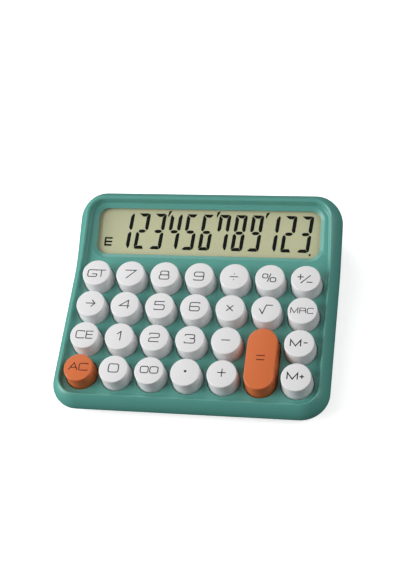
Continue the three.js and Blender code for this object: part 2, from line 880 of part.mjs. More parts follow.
// Low ribs on the floor that keep the base flat
function floorRibs() {
  const front = floorEdgeY(deckFront + innerFootInset, baseTop);
  const low = baseTop - baseFloor / 2;
  const high = baseTop + ribHeight;
  const ribX = keyPitch * ribShare;
  const rear = bayFront - bayWall / 2;
  const lengthwise = [-ribX, ribX].map((x) =>
    block([x - ribThickness / 2, front - fitGap, low], [x + ribThickness / 2, rear, high]),
  );
  const crosswise = block(
    [-ribX, deckY - ribThickness / 2, low],
    [ribX, deckY + ribThickness / 2, high],
  );
  return [...lengthwise, crosswise];
}

const footPlaces = [-1, 1].flatMap((side) => {
  const x = side * (deckHalfWidth - baseInset - footMargin);
  const front = floorEdgeY(deckFront + baseInset, footProud) + footMargin;
  const rear = floorEdgeY(deckRear - baseInset, footProud) - footMargin;
  return [
    [x, front],
    [x, rear],
  ];
});

function footRecesses() {
  const depth = footThickness + fitGap;
  return footPlaces.map((place) =>
    post(place, footRadius + fitGap, -overrun, depth, footFacets),
  );
}

const shell = deckToBase(baseOuter().subtract(baseInner()));

function bottomHousing() {
  const upper = deckToBase(joined(seamTongue(), [...hookBlocks(0), ...pillars()]));
  const walls = joined(shell.subtract(coverSpace(fitGap)), [upper, bayWalls(), ...floorRibs()]);
  return cut(walls, [...lugWays(), ...footRecesses(), ...pillarHoles().map(deckToBase)]);
}

// Battery and its contacts, lying along X
function battery() {
  const end = batteryLength - batteryNubHeight;
  const profile = [
    [0, 0],
    [batteryRadius - batteryEdge, 0],
    [batteryRadius, batteryEdge],
    [batteryRadius, end - batteryEdge],
    [batteryRadius - batteryEdge, end],
    [batteryNubRadius, end],
    [batteryNubRadius, batteryLength],
    [0, batteryLength],
  ];
  const geometry = turned(profile, batteryFacets).rotateY(-Math.PI / 2);
  return geometry.translate(batteryEndX, bayY, batteryZ);
}

// The spring's centreline: turns about X that widen from the battery to the wall of the bay
class ConeSpring extends THREE.Curve {
  getPoint(share, target = new THREE.Vector3()) {
    const angle = Math.PI / 2 - (1 - share) * springTurns * 2 * Math.PI;
    const radius = THREE.MathUtils.lerp(springEndRadius, springBaseRadius, share);
    const x = THREE.MathUtils.lerp(
      batteryEndX + fitGap + springWire,
      bayHalfLength - fitGap - springWire,
      share,
    );
    return target.set(x, bayY + radius * Math.cos(angle), batteryZ + radius * Math.sin(angle));
  }
}

// A round wire or tube along a curve.
function tube(path, radius, sides, steps) {
  const corners = Array.from({ length: sides }, (_, side) => {
    const angle = (side / sides) * 2 * Math.PI;
    return new THREE.Vector2(radius * Math.cos(angle), radius * Math.sin(angle));
  });
  const section = new THREE.Shape(corners);
  return new THREE.ExtrudeGeometry(section, { steps, extrudePath: path, bevelEnabled: false });
}

function batterySpring() {
  return tube(new ConeSpring(), springWire, springSides, springTurns * springStepsPerTurn);
}

const plateTop = batteryZ + contactHeight / 2 + contactTab;
const springTop = batteryZ + springBaseRadius + springWire;

// The flat contact at the cap end, a plate with a solder tab at its top edge
function batteryPlate() {
  const outline = new THREE.Shape();
  outline.moveTo(-contactWidth / 2, -contactHeight / 2);
  outline.lineTo(contactWidth / 2, -contactHeight / 2);
  outline.lineTo(contactWidth / 2, contactHeight / 2);
  outline.lineTo(contactTab / 2, contactHeight / 2);
  outline.lineTo(contactTab / 2, contactHeight / 2 + contactTab);
  outline.lineTo(-contactTab / 2, contactHeight / 2 + contactTab);
  outline.lineTo(-contactTab / 2, contactHeight / 2);
  outline.lineTo(-contactWidth / 2, contactHeight / 2);
  outline.closePath();
  const plate = new THREE.ExtrudeGeometry(outline, { depth: contactThickness, bevelEnabled: false });
  plate.rotateX(Math.PI / 2).rotateZ(Math.PI / 2);
  return plate.translate(-bayHalfLength + fitGap, bayY, batteryZ);
}

// A lead from above a contact, over the bay's end wall, to the underside of the board.
// The contact's own thickness and the height of its top are given.
function batteryLead(side, thickness, contactTop) {
  const start = new THREE.Vector3(
    side * (bayHalfLength - fitGap - thickness),
    bayY,
    contactTop + 2 * fitGap + leadRadius,
  );
  const end = new THREE.Vector3(
    side * (bayHalfLength + leadReach),
    boardRear - leadLanding,
    boardBottom - fitGap,
  ).applyMatrix4(deckMatrix);
  const path = new THREE.CubicBezierCurve3(
    start,
    start.clone().add(new THREE.Vector3(side * leadReach, 0, 0)),
    end.clone().add(new THREE.Vector3(0, 0, -leadDrop)),
    end,
  );
  return tube(path, leadRadius, leadSides, leadSteps);
}

const rubberFoot = ([x, y]) =>
  turned(
    [
      [0, 0],
      [footRadius - footEdge, 0],
      [footRadius, footEdge],
      [footRadius, footThickness],
      [0, footThickness],
    ],
    footFacets,
  ).translate(x, y, 0);

// The assembly
function mesh(name, shape, material) {
  const geometry = shape.isBufferGeometry ? shape : geometryOf(shape);
  const made = new THREE.Mesh(geometry, material);
  made.name = name;
  return made;
}

const display = new THREE.Group();
display.position.set(0, bendY, 0);
display.rotation.x = displayTilt;
display.add(
  mesh("display_lens", displayLens(), clearPlastic),
  mesh("lcd_panel", lcdPanel(), lcdGlass),
  mesh("lcd_holder", lcdHolder(), greyPlastic),
);
earPlaces.forEach((place, index) => {
  const side = index ? "right" : "left";
  display.add(mesh(`holder_screw_${side}`, screw(place, holderScrewSeat, holderScrewTip), steel));
});

const deck = new THREE.Group();
deck.position.set(0, deckY, deckHeight);
deck.rotation.x = wedgeAngle;
deck.add(
  mesh("top_housing", topHousing(), greenPlastic),
  mesh("display_ribbon", displayRibbon(), ribbonFilm),
  mesh("keypad_sheet", keypadSheet(), silicone),
  mesh("circuit_board", circuitBoard(), boardMaterial),
  mesh("controller_chip", controllerChip(), epoxy),
  display,
);
for (const { name, x, y, stretch } of keys) {
  const material = orangeKeys.includes(name) ? orangePlastic : whitePlastic;
  const key = mesh(`key_${name}`, keyCap(stretch), material);
  key.position.set(x, y, 0);
  deck.add(key);
}
boardScrews.forEach((place, index) => {
  deck.add(mesh(`board_screw_${index + 1}`, screw(place, boardScrewSeat, boardScrewTip), steel));
});
housingScrews.forEach((place, index) => {
  const made = screw(place, pillarSeat(place[1]) - fitGap, housingScrewTip);
  deck.add(mesh(`housing_screw_${index + 1}`, made, steel));
});

const calculator = new THREE.Group();
calculator.add(
  deck,
  mesh("bottom_housing", bottomHousing(), greenPlastic),
  mesh("battery_cover", batteryCover(shell), greenPlastic),
  mesh("battery", battery(), batteryWrap),
  mesh("battery_spring", batterySpring(), steel),
  mesh("battery_plate", batteryPlate(), steel),
  mesh("lead_positive", batteryLead(-1, contactThickness, plateTop), redWire),
  mesh("lead_negative", batteryLead(1, 2 * springWire, springTop), blackWire),
);
const footNames = ["front_left", "rear_left", "front_right", "rear_right"];
footPlaces.forEach((place, index) => {
  calculator.add(mesh(`foot_${footNames[index]}`, rubberFoot(place), rubber));
});

export default calculator;
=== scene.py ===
import math

import bmesh
import bpy
from mathutils import Matrix, Vector
from mathutils.geometry import delaunay_2d_cdt


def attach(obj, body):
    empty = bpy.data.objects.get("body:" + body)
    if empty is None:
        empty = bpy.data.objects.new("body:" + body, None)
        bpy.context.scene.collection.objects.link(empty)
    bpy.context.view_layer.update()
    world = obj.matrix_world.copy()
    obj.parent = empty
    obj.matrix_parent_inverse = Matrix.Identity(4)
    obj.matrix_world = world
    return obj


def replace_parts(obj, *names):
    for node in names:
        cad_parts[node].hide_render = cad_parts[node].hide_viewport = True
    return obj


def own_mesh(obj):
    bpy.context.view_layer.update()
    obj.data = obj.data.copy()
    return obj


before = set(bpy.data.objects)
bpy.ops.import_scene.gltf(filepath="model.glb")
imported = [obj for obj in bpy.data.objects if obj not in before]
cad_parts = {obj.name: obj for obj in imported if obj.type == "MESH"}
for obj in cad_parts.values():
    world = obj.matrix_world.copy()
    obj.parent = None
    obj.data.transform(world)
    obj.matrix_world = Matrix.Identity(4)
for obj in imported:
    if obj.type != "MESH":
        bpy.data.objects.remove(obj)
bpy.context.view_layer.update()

# Sizes are in metres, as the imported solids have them.
# The deck frame lies in the key panel: its origin is the middle of the key grid, on the panel's face.
# The display frame starts at the bend behind the rear key row and leans back with the display.
MM = 0.001
FIT_GAP = 0.0003
OVERRUN = 0.002

# Key grid and key caps
KEY_PITCH = 0.019
KEY_COLUMNS = 7
KEY_ROWS = 4
KEY_TOP_RADIUS = 0.00775
KEY_BASE_RADIUS = 0.00845
KEY_HEIGHT = 0.0085
KEY_EDGE = 0.0005
KEY_HOLE_RADIUS = 0.00875
KEY_FLANGE_RADIUS = 0.0093
KEY_FLANGE_TOP = -0.0023
KEY_FLANGE_BOTTOM = -0.0033

# Silicone sheet under the keys
KEY_TRAVEL = 0.0025
SHEET_THICKNESS = 0.0008
SHEET_MARGIN = 0.0002
SHEET_CORNER = 0.0046
DOME_RADIUS = 0.0046
DOME_TOP_RADIUS = 0.0024
DOME_EDGE = 0.0003
BOSS_HOLE_RADIUS = 0.0029

# Top housing
SIDE_MARGIN = 0.01645
FRONT_MARGIN = 0.0174
BEND_MARGIN = 0.0115
CORNER_RADIUS = 0.01495
RIM_WIDTH = 0.0055
RIM_DROP = 0.0086
SEAM_SKIRT = 0.0005
RECESS_DEPTH = 0.0033
RECESS_WALL_RUN = 0.0005
PLATE_THICKNESS = 0.002
TOP_WALL = 0.0022
DISPLAY_TILT = math.radians(16.3)
BEND_SOFTNESS = 0.0028
RIM_LEAN_SHARE = 0.12
RIM_SLOPE = 0.45
SEAM_EDGE = 0.0002
CREST_EDGE = 0.0009
FLOOR_FILLET = 0.0006
HOLE_EDGE = 0.0002
PILOT_RADIUS = 0.0013

# Display window, measured along the display section from the bend
WINDOW_FRONT = 0.00515
WINDOW_HEIGHT = 0.02635
WINDOW_REAR_GAP = 0.0042
WINDOW_SIDE_GAP = 0.0114
WINDOW_CORNER = 0.0055
WINDOW_LIP = 0.0012
BEVEL_WIDTH = 0.0022
BEVEL_DEPTH = 0.001
BEVEL_EDGE = 0.0003
REAR_RIM_WIDTH = 0.00605
GLASS_BORDER = 0.0014
LCD_LEDGE = 0.0024
LCD_TOP = -0.0028

# Bottom housing, battery cover and feet
WEDGE_ANGLE = math.radians(4)
FRONT_SKIRT_HEIGHT = 0.0057
FOOT_PROUD = 0.001
BASE_INSET = 0.00495
SEAM_STEP = 0.0004
BASE_WALL = 0.0026
BASE_FLOOR = 0.002
BASE_EDGE = 0.0005
TONGUE_THICKNESS = 0.0012
TONGUE_HEIGHT = 0.0015
BAY_HALF_LENGTH = 0.0299
BAY_DEPTH = 0.0157
BAY_WALL = 0.0014
BAY_WALL_HEIGHT = 0.01044
COVER_LIP_HEIGHT = 0.0055
COVER_TRAVEL = 0.005
COVER_TONGUE_HALF_WIDTH = 0.01
LUG_REACH = 0.002
LUG_LENGTH = 0.003
LUG_THICKNESS = 0.001
LUG_ROOT = 0.0015
RAIL_X = 0.01805
RIB_THICKNESS = 0.0012
RIB_HEIGHT = 0.001
RIB_X = 0.0285
GRIP_HALF_WIDTH = 0.007
GRIP_DEPTH = 0.0006
GRIP_RIDGE = 0.0011
GRIP_COUNT = 4
PILLAR_RADIUS = 0.0037
PILLAR_TOP = -0.0096
SCREW_SINK = 0.0016
SCREW_HEAD_RADIUS = 0.002
SCREW_HEAD_HEIGHT = 0.0008
SCREW_RADIUS = 0.001
SCREW_TIP = -0.0036
FOOT_RADIUS = 0.005
FOOT_THICKNESS = 0.0016
FOOT_EDGE = 0.0005
FOOT_MARGIN = 0.011

# Fineness of the meshes
CORNER_STEPS = 20
RIM_STEPS = 18
ROUND_STEPS = 64
DOME_STEPS = 32
DOT_STEPS = 20
EDGE_STEPS = 6
SMALL_EDGE_STEPS = 4
FOOT_EDGE_STEPS = 5
MERGE_DISTANCE = 1e-7
TRIANGLE_TOLERANCE = 1e-9
TRIANGLES_ONLY = 0
SHARP_ANGLE = math.radians(32)

# Worked-out sizes
GRID_HALF_WIDTH = KEY_PITCH * (KEY_COLUMNS - 1) / 2
GRID_HALF_DEPTH = KEY_PITCH * (KEY_ROWS - 1) / 2
DECK_HALF_WIDTH = GRID_HALF_WIDTH + SIDE_MARGIN
DECK_FRONT = -GRID_HALF_DEPTH - FRONT_MARGIN
BEND_Y = GRID_HALF_DEPTH + BEND_MARGIN
DISPLAY_LENGTH = WINDOW_FRONT + WINDOW_HEIGHT + WINDOW_REAR_GAP
DECK_REAR = BEND_Y + DISPLAY_LENGTH * math.cos(DISPLAY_TILT) + REAR_RIM_WIDTH
SEAM_Z = RECESS_DEPTH - RIM_DROP - SEAM_SKIRT
SEAM_BOTTOM = SEAM_Z - FIT_GAP
DECK_HEIGHT = (
    FOOT_PROUD
    + FRONT_SKIRT_HEIGHT
    - DECK_FRONT * math.sin(WEDGE_ANGLE)
    - SEAM_Z * math.cos(WEDGE_ANGLE)
)
DECK_Y = (
    (2 * SEAM_Z + SEAM_SKIRT) * math.sin(WEDGE_ANGLE) - (DECK_REAR + DECK_FRONT) * math.cos(WEDGE_ANGLE)
) / 2
SHEET_TOP = KEY_FLANGE_BOTTOM - KEY_TRAVEL - FIT_GAP
SHEET_BOTTOM = SHEET_TOP - SHEET_THICKNESS
SHEET_HALF_WIDTH = GRID_HALF_WIDTH + KEY_FLANGE_RADIUS + SHEET_MARGIN
SHEET_HALF_DEPTH = GRID_HALF_DEPTH + KEY_FLANGE_RADIUS + SHEET_MARGIN
WINDOW_HALF_WIDTH = DECK_HALF_WIDTH - WINDOW_SIDE_GAP
WINDOW_REAR = WINDOW_FRONT + WINDOW_HEIGHT
POCKET_HALF_WIDTH = WINDOW_HALF_WIDTH + GLASS_BORDER + FIT_GAP
POCKET_FRONT = WINDOW_FRONT - GLASS_BORDER - LCD_LEDGE - FIT_GAP
POCKET_REAR = WINDOW_REAR + GLASS_BORDER + FIT_GAP
BASE_TOP = FOOT_PROUD + BASE_FLOOR
COVER_HALF_WIDTH = BAY_HALF_LENGTH - 2 * FIT_GAP
LUG_LOW = BASE_TOP + FIT_GAP
LUG_HIGH = LUG_LOW + LUG_THICKNESS

PART = Matrix.Identity(4)
DECK = Matrix.Translation((0, DECK_Y, DECK_HEIGHT)) @ Matrix.Rotation(WEDGE_ANGLE, 4, "X")
DISPLAY_IN_DECK = Matrix.Translation((0, BEND_Y, 0)) @ Matrix.Rotation(DISPLAY_TILT, 4, "X")
DISPLAY = DECK @ DISPLAY_IN_DECK


# Camera, solved from the key grid in the photograph
CAMERA_PLACE = (0.134265, -0.342245, 0.554864)
CAMERA_AIM = (-0.001463, 0.011446, 0.015021)
CAMERA_ROLL = math.radians(15.69)
CAMERA_LENS = 76.98


def make_camera():
    data = bpy.data.cameras.new("camera")
    data.lens = CAMERA_LENS
    camera = bpy.data.objects.new("camera", data)
    bpy.context.scene.collection.objects.link(camera)
    view = Vector(CAMERA_AIM) - Vector(CAMERA_PLACE)
    turn = view.to_track_quat("-Z", "Y").to_matrix().to_4x4()
    roll = Matrix.Rotation(-CAMERA_ROLL, 4, "Z")
    camera.matrix_world = Matrix.Translation(CAMERA_PLACE) @ turn @ roll
    bpy.context.scene.camera = camera


make_camera()
bpy.context.scene.view_settings.view_transform = "Standard"


# Materials: size of the fine grain and of the broad patches, and how far the roughness varies
GRAIN_SIZE = 0.0004
GRAIN_DETAIL = 2
PATCH_SIZE = 0.02
PATCH_DETAIL = 4
ROUGHNESS_SPREAD = 0.1


def colour(code):
    """Linear colour of an sRGB hex code, by the curve of the sRGB standard."""
    values = [int(code[place : place + 2], 16) / 255 for place in (1, 3, 5)]
    return [v / 12.92 if v <= 0.04045 else ((v + 0.055) / 1.055) ** 2.4 for v in values]


def noise(tree, size, detail):
    """Noise of a size, in the piece's own coordinates."""
    place = tree.nodes.new("ShaderNodeTexCoord")
    made = tree.nodes.new("ShaderNodeTexNoise")
    made.inputs["Scale"].default_value = 1 / size
    made.inputs["Detail"].default_value = detail
    tree.links.new(place.outputs["Object"], made.inputs["Vector"])
    return made.outputs["Fac"]


def material(
    name, tone, roughness, bump=0.05, mottle=0.03, metallic=0.0, alpha=1.0, specular=0.5
):
    """A moulded or plated surface: broad mottling in its colour and fine grain in its relief."""
    made = bpy.data.materials.new(name)
    made.use_nodes = True
    tree = made.node_tree
    shader = tree.nodes["Principled BSDF"]
    shader.inputs["Metallic"].default_value = metallic
    shader.inputs["Alpha"].default_value = alpha
    shader.inputs["Specular IOR Level"].default_value = specular
    mix = tree.nodes.new("ShaderNodeMix")
    mix.data_type = "RGBA"
    base = colour(tone)
    sockets = [socket for socket in mix.inputs if socket.type == "RGBA"]
    sockets[0].default_value = [v * (1 - mottle) for v in base] + [1]
    sockets[1].default_value = [min(1, v * (1 + mottle)) for v in base] + [1]
    tree.links.new(noise(tree, PATCH_SIZE, PATCH_DETAIL), mix.inputs[0])
    result = [socket for socket in mix.outputs if socket.type == "RGBA"][0]
    tree.links.new(result, shader.inputs["Base Color"])
    fine = noise(tree, GRAIN_SIZE, GRAIN_DETAIL)
    rough = tree.nodes.new("ShaderNodeMapRange")
    rough.inputs["To Min"].default_value = roughness * (1 - ROUGHNESS_SPREAD)
    rough.inputs["To Max"].default_value = min(1, roughness * (1 + ROUGHNESS_SPREAD))
    tree.links.new(fine, rough.inputs["Value"])
    tree.links.new(rough.outputs["Result"], shader.inputs["Roughness"])
    relief = tree.nodes.new("ShaderNodeBump")
    relief.inputs["Strength"].default_value = bump
    relief.inputs["Distance"].default_value = GRAIN_SIZE
    tree.links.new(fine, relief.inputs["Height"])
    tree.links.new(relief.outputs["Normal"], shader.inputs["Normal"])
    return made


GREEN = material("green_plastic", "#55988d", 0.33, mottle=0.02)
WHITE = material("white_plastic", "#dbdadb", 0.45, mottle=0.01)
ORANGE = material("orange_plastic", "#cb6631", 0.42)
PRINT_DARK = material("dark_print", "#252427", 0.6, mottle=0.05, specular=0.15)
PRINT_BROWN = material("brown_print", "#4a2018", 0.6, mottle=0.05, specular=0.15)
SEGMENT = material("lcd_segment", "#070b0a", 0.5, mottle=0.05, specular=0.05)
LCD = material("lcd_glass", "#bbbc97", 0.5, mottle=0.015, bump=0.01)
LENS = material("clear_lens", "#6b706a", 0.12, alpha=0.02, mottle=0.01, bump=0.005)
GREY = material("grey_plastic", "#8d8f8f", 0.6)
FILM = material("ribbon_film", "#b98a3c", 0.4)
SILICONE = material("silicone", "#b8babb", 0.7)
BOARD = material("board_laminate", "#2e6b45", 0.4)
EPOXY = material("black_epoxy", "#1a1a1b", 0.35)
WRAP = material("battery_wrap", "#5c6167", 0.35)
STEEL = material("steel", "#b4b6b9", 0.35, metallic=1.0, bump=0.02)
RED = material("red_wire", "#b3312a", 0.5)
BLACK = material("black_wire", "#202022", 0.5)
RUBBER = material("rubber_foot", "#3b3d3e", 0.85, bump=0.15)

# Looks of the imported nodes; key caps and feet follow by their names, and the rest is steel
NODE_LOOKS = {
    "top_housing": GREEN,
    "bottom_housing": GREEN,
    "battery_cover": GREEN,
    "display_lens": LENS,
    "lcd_panel": LCD,
    "lcd_holder": GREY,
    "display_ribbon": FILM,
    "keypad_sheet": SILICONE,
    "circuit_board": BOARD,
    "controller_chip": EPOXY,
    "battery": WRAP,
    "battery_spring": STEEL,
    "battery_plate": STEEL,
    "lead_positive": RED,
    "lead_negative": BLACK,
}
ORANGE_KEYS = ("all_clear", "equals")


def dress_nodes():
    for name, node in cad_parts.items():
        look = NODE_LOOKS.get(name, STEEL)
        if name.startswith("key_"):
            look = ORANGE if name.removeprefix("key_") in ORANGE_KEYS else WHITE
        elif name.startswith("foot_"):
            look = RUBBER
        node.data.materials.clear()
        node.data.materials.append(look)


dress_nodes()


# Meshes and pieces
def mesh_object(name, points, faces, place):
    """An object whose points are moved by a placing matrix."""
    mesh = bpy.data.meshes.new(name)
    mesh.from_pydata([tuple(place @ Vector(point)) for point in points], [], faces)
    work = bmesh.new()
    work.from_mesh(mesh)
    bmesh.ops.remove_doubles(work, verts=work.verts, dist=MERGE_DISTANCE)
    bmesh.ops.recalc_face_normals(work, faces=work.faces)
    work.to_mesh(mesh)
    work.free()
    made = bpy.data.objects.new(name, mesh)
    bpy.context.scene.collection.objects.link(made)
    return made


def finished(made, look, body="housing"):
    """Shades a piece, gives it its look and lets it ride on its body."""
    made.data.shade_smooth()
    made.data.set_sharp_from_angle(angle=SHARP_ANGLE)
    made.data.materials.clear()
    made.data.materials.append(look)
    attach(made, body)
    return made


def boolean(base, tool, operation):
    """The base joined with, cut by or kept inside the tool, which is then removed."""
    step = base.modifiers.new("step", "BOOLEAN")
    step.object = tool
    step.operation = operation
    step.solver = "EXACT"
    step.use_self = True
    graph = bpy.context.evaluated_depsgraph_get()
    result = bpy.data.meshes.new_from_object(base.evaluated_get(graph))
    base.modifiers.remove(step)
    old = base.data
    base.data = result
    bpy.data.meshes.remove(old)
    bpy.data.objects.remove(tool)
    return base


def skin(rings, ends=False):
    """Points and faces of a skin through closed rings of equally many points, with or without ends."""
    count = len(rings[0])
    points = [point for loop in rings for point in loop]
    faces = []
    for level in range(len(rings) - 1):
        low = level * count
        for place in range(count):
            after = (place + 1) % count
            faces.append((low + place, low + after, low + count + after, low + count + place))
    if ends:
        faces.append(tuple(range(count - 1, -1, -1)))
        faces.append(tuple(range(len(points) - count, len(points))))
    return points, faces


def merged(groups):
    """Groups of points and faces joined to one group."""
    points, faces = [], []
    for group_points, group_faces in groups:
        shift = len(points)
        points.extend(group_points)
        faces.extend(tuple(corner + shift for corner in face) for face in group_faces)
    return points, faces


def moved(group, place):
    """A group of points and faces, moved by a placing matrix."""
    points, faces = group
    return [place @ point for point in points], faces


def arc(centre, radius, start, end, steps):
    """Points of an arc; angles in quarter turns."""
    angles = [(start + (end - start) * step / steps) * math.pi / 2 for step in range(steps + 1)]
    return [(centre[0] + radius * math.cos(a), centre[1] + radius * math.sin(a)) for a in angles]


def circle(x, y, radius, level, steps=ROUND_STEPS):
    """A level loop of points round a middle."""
    return [Vector((px, py, level)) for px, py in arc((x, y), radius, 0, 4, steps)[:-1]]


def post(x, y, radius, low, high):
    """An upright round pin between two heights."""
    return skin([circle(x, y, radius, low), circle(x, y, radius, high)], ends=True)


def block(low, high):
    """A box between its lowest and its highest corner."""
    corners = [(low[0], low[1]), (high[0], low[1]), (high[0], high[1]), (low[0], high[1])]
    return skin([[Vector((x, y, z)) for x, y in corners] for z in (low[2], high[2])], ends=True)


def inside(x, y, loop):
    """Whether a point lies in a loop, by counting crossings."""
    found = False
    for a, b in zip(loop, loop[1:] + loop[:1]):
        if (a[1] > y) != (b[1] > y) and x < a[0] + (y - a[1]) * (b[0] - a[0]) / (b[1] - a[1]):
            found = not found
    return found


def triangles(loops, extra, kept):
    """Triangles between loops and through extra points, where kept(x, y) holds."""
    points, edges = [], []
    for loop in loops:
        first = len(points)
        points.extend(Vector(point[:2]) for point in loop)
        count = len(loop)
        edges.extend((first + place, first + (place + 1) % count) for place in range(count))
    points.extend(Vector(point) for point in extra)
    corners, _, cells, *_ = delaunay_2d_cdt(points, edges, [], TRIANGLES_ONLY, TRIANGLE_TOLERANCE)
    faces = []
    for cell in cells:
        middle = sum((corners[corner] for corner in cell), Vector((0, 0))) / len(cell)
        if kept(middle.x, middle.y):
            faces.append(tuple(cell))
    return corners, faces


# Deck outline and its rings
def deck_face(y):
    """Height of the deck's face: flat under the keys, then a soft bend up to the display."""
    return math.tan(DISPLAY_TILT) * BEND_SOFTNESS * math.log1p(math.exp((y - BEND_Y) / BEND_SOFTNESS))


def base_plane(y, height):
    """A plane level with the table, in the deck's frame."""
    return (height - DECK_HEIGHT - y * math.sin(WEDGE_ANGLE)) / math.cos(WEDGE_ANGLE)


def display_level(height):
    """Height in the deck's frame, by y, of a plane at a height in the display's frame."""
    origin = DISPLAY_IN_DECK @ Vector((0, 0, height))
    return lambda y: origin.z + (y - origin.y) * math.tan(DISPLAY_TILT)


def lean(y):
    """How far the rim's crest and the seam stand in from the widest line where the deck climbs."""
    return RIM_LEAN_SHARE * deck_face(y)


def outline(half_width, front, rear, radius, stations):
    """Right half of a rounded outline, front to rear, as (x, y, normal x, normal y)."""
    points = []
    for y, start in ((front + radius, -1), (rear - radius, 0)):
        for nx, ny in arc((0, 0), 1, start, start + 1, CORNER_STEPS):
            points.append((half_width - radius + radius * nx, y + radius * ny, nx, ny))
        if start < 0:
            points.extend((half_width, station, 1, 0) for station in stations)
    return points


def ring(half, inset, level):
    """A full loop moved inwards by inset(y), at the height level(y)."""
    right = []
    for x, y, nx, ny in half:
        move = inset(y)
        placed = y - move * ny
        right.append(Vector((x - move * nx, placed, level(placed))))
    return right + [Vector((-point.x, point.y, point.z)) for point in reversed(right)]


def flat_ring(half, inset, level):
    return ring(half, lambda y: inset, lambda y: level)


def seam_ring(inset, level):
    """A level loop of the body that tucks in under the climbing rim."""
    return ring(BODY, lambda y: inset + lean(y), lambda y: level)


# Stations where the deck bends, and along the window's sides as shares of its height
BEND_REACH = 0.015
BEND_STEP = 0.0015
BEND_STEPS = int(2 * BEND_REACH / BEND_STEP)
BEND_STATIONS = [BEND_Y - BEND_REACH + BEND_STEP * step for step in range(BEND_STEPS + 1)]
WINDOW_STATION_SHARES = (0.25, 0.3, 0.35, 0.4, 0.45, 0.5, 0.6, 0.7)
BODY = outline(DECK_HALF_WIDTH, DECK_FRONT, DECK_REAR, CORNER_RADIUS, BEND_STATIONS)

# Places of the housing and board screws, in key pitches from the grid's middle
SCREW_SHARES = ((-2.5, 1), (2.5, 1), (-0.5, -1), (0.5, -1))
SCREW_PLACES = [(x * KEY_PITCH, y * KEY_PITCH) for x, y in SCREW_SHARES]
BOARD_SCREW_SHARES = ((-0.5, 1), (0.5, 1), (-2.5, 0), (2.5, 0), (-2.5, -1))
BOARD_SCREW_PLACES = [(x * KEY_PITCH, y * KEY_PITCH) for x, y in BOARD_SCREW_SHARES]

# Keys row by row from the display; the tall equals key fills two rows of its column
KEY_NAMES = (
    ("grand_total", "7", "8", "9", "divide", "percent", "sign"),
    ("back", "4", "5", "6", "multiply", "root", "memory_recall"),
    ("clear_entry", "1", "2", "3", "minus", "equals", "memory_minus"),
    ("all_clear", "0", "00", "point", "plus", None, "memory_plus"),
)


def key_places():
    return [
        (name, row, column * KEY_PITCH - GRID_HALF_WIDTH, GRID_HALF_DEPTH - row * KEY_PITCH)
        for row, names in enumerate(KEY_NAMES)
        for column, name in enumerate(names)
        if name
    ]


def key_loop(name, x, y, radius, level):
    """A circle at a height, or for the tall key a slot drawn out towards the front."""
    if name != "equals":
        return circle(x, y, radius, level)
    half = ROUND_STEPS // 2
    points = arc((x, y), radius, 0, 2, half) + arc((x, y - KEY_PITCH), radius, 2, 4, half)
    return [Vector((px, py, level)) for px, py in points]


# Top housing
def rim_rings():
    """Rings from inside the seam, over the rim and down to the deck's face."""
    rings = [
        ring(BODY, lambda y: TOP_WALL + lean(y), lambda y: deck_face(y) - PLATE_THICKNESS),
        seam_ring(TOP_WALL, SEAM_Z + TONGUE_HEIGHT + FIT_GAP),
        seam_ring(TOP_WALL, SEAM_Z),
        seam_ring(SEAM_EDGE, SEAM_Z),
        seam_ring(0, SEAM_Z + SEAM_EDGE),
    ]
    profile = []
    for step in range(RIM_STEPS):
        angle = math.pi / 2 * (1 - step / RIM_STEPS)
        reach = math.sin(angle)
        fall = RIM_SLOPE * reach + (1 - RIM_SLOPE) * (1 - math.cos(angle))
        profile.append(((RIM_WIDTH - CREST_EDGE) * (1 - reach), RECESS_DEPTH - RIM_DROP * fall))
    profile += arc((RIM_WIDTH - CREST_EDGE, RECESS_DEPTH - CREST_EDGE), CREST_EDGE, 1, 0, EDGE_STEPS)
    foot = RIM_WIDTH + RECESS_WALL_RUN
    profile += arc((foot + FLOOR_FILLET, FLOOR_FILLET), FLOOR_FILLET, 2, 3, SMALL_EDGE_STEPS)
    for inset, height in profile:
        share = min(1, inset / RIM_WIDTH)
        rings.append(ring(BODY, lambda y: inset + share * lean(y), lambda y: height + deck_face(y)))
    return rings


def window_ring(outset, height):
    """A loop round the window, grown by outset, at a height in the display's frame."""
    stations = [WINDOW_FRONT + WINDOW_HEIGHT * share for share in WINDOW_STATION_SHARES]
    front, rear = WINDOW_FRONT - outset, WINDOW_REAR + outset
    half = outline(WINDOW_HALF_WIDTH + outset, front, rear, WINDOW_CORNER + outset, stations)
    return [DISPLAY_IN_DECK @ point for point in flat_ring(half, 0, height)]


def pocket_loop(height):
    """The rectangle of the display's pocket at a height in the display's frame."""
    corners = [
        (POCKET_HALF_WIDTH, POCKET_FRONT),
        (POCKET_HALF_WIDTH, POCKET_REAR),
        (-POCKET_HALF_WIDTH, POCKET_REAR),
        (-POCKET_HALF_WIDTH, POCKET_FRONT),
    ]
    return [DISPLAY_IN_DECK @ Vector((x, y, height)) for x, y in corners]


def away(point, loop):
    """Whether a point stays clear of all corners of a loop."""
    x, y = point
    return min((x - a) ** 2 + (y - b) ** 2 for a, b in loop) > BEND_STEP**2 / 2


def plate(border, holes, level, extra):
    """A sheet of triangles between a border and its holes, at the height level(y)."""
    edge = [tuple(point[:2]) for point in border]
    cuts = [[tuple(point[:2]) for point in hole] for hole in holes]

    def kept(x, y):
        return inside(x, y, edge) and not any(inside(x, y, hole) for hole in cuts)

    clear = [point for point in extra if kept(*point)]
    for loop in [edge] + cuts:
        clear = [point for point in clear if away(point, loop)]
    points, faces = triangles([edge] + cuts, clear, kept)
    return [Vector((point.x, point.y, level(point.y))) for point in points], faces


def bend_grid():
    """Extra points of the deck's face over the bend."""
    step = 2 * BEND_STEP
    count = int(DECK_HALF_WIDTH / step)
    return [(step * column, y) for y in BEND_STATIONS for column in range(-count, count + 1)]


def on_face(loop, depth=0.0):
    """A loop laid on the deck's face, or at a depth under it."""
    return [Vector((point.x, point.y, deck_face(point.y) - depth)) for point in loop]


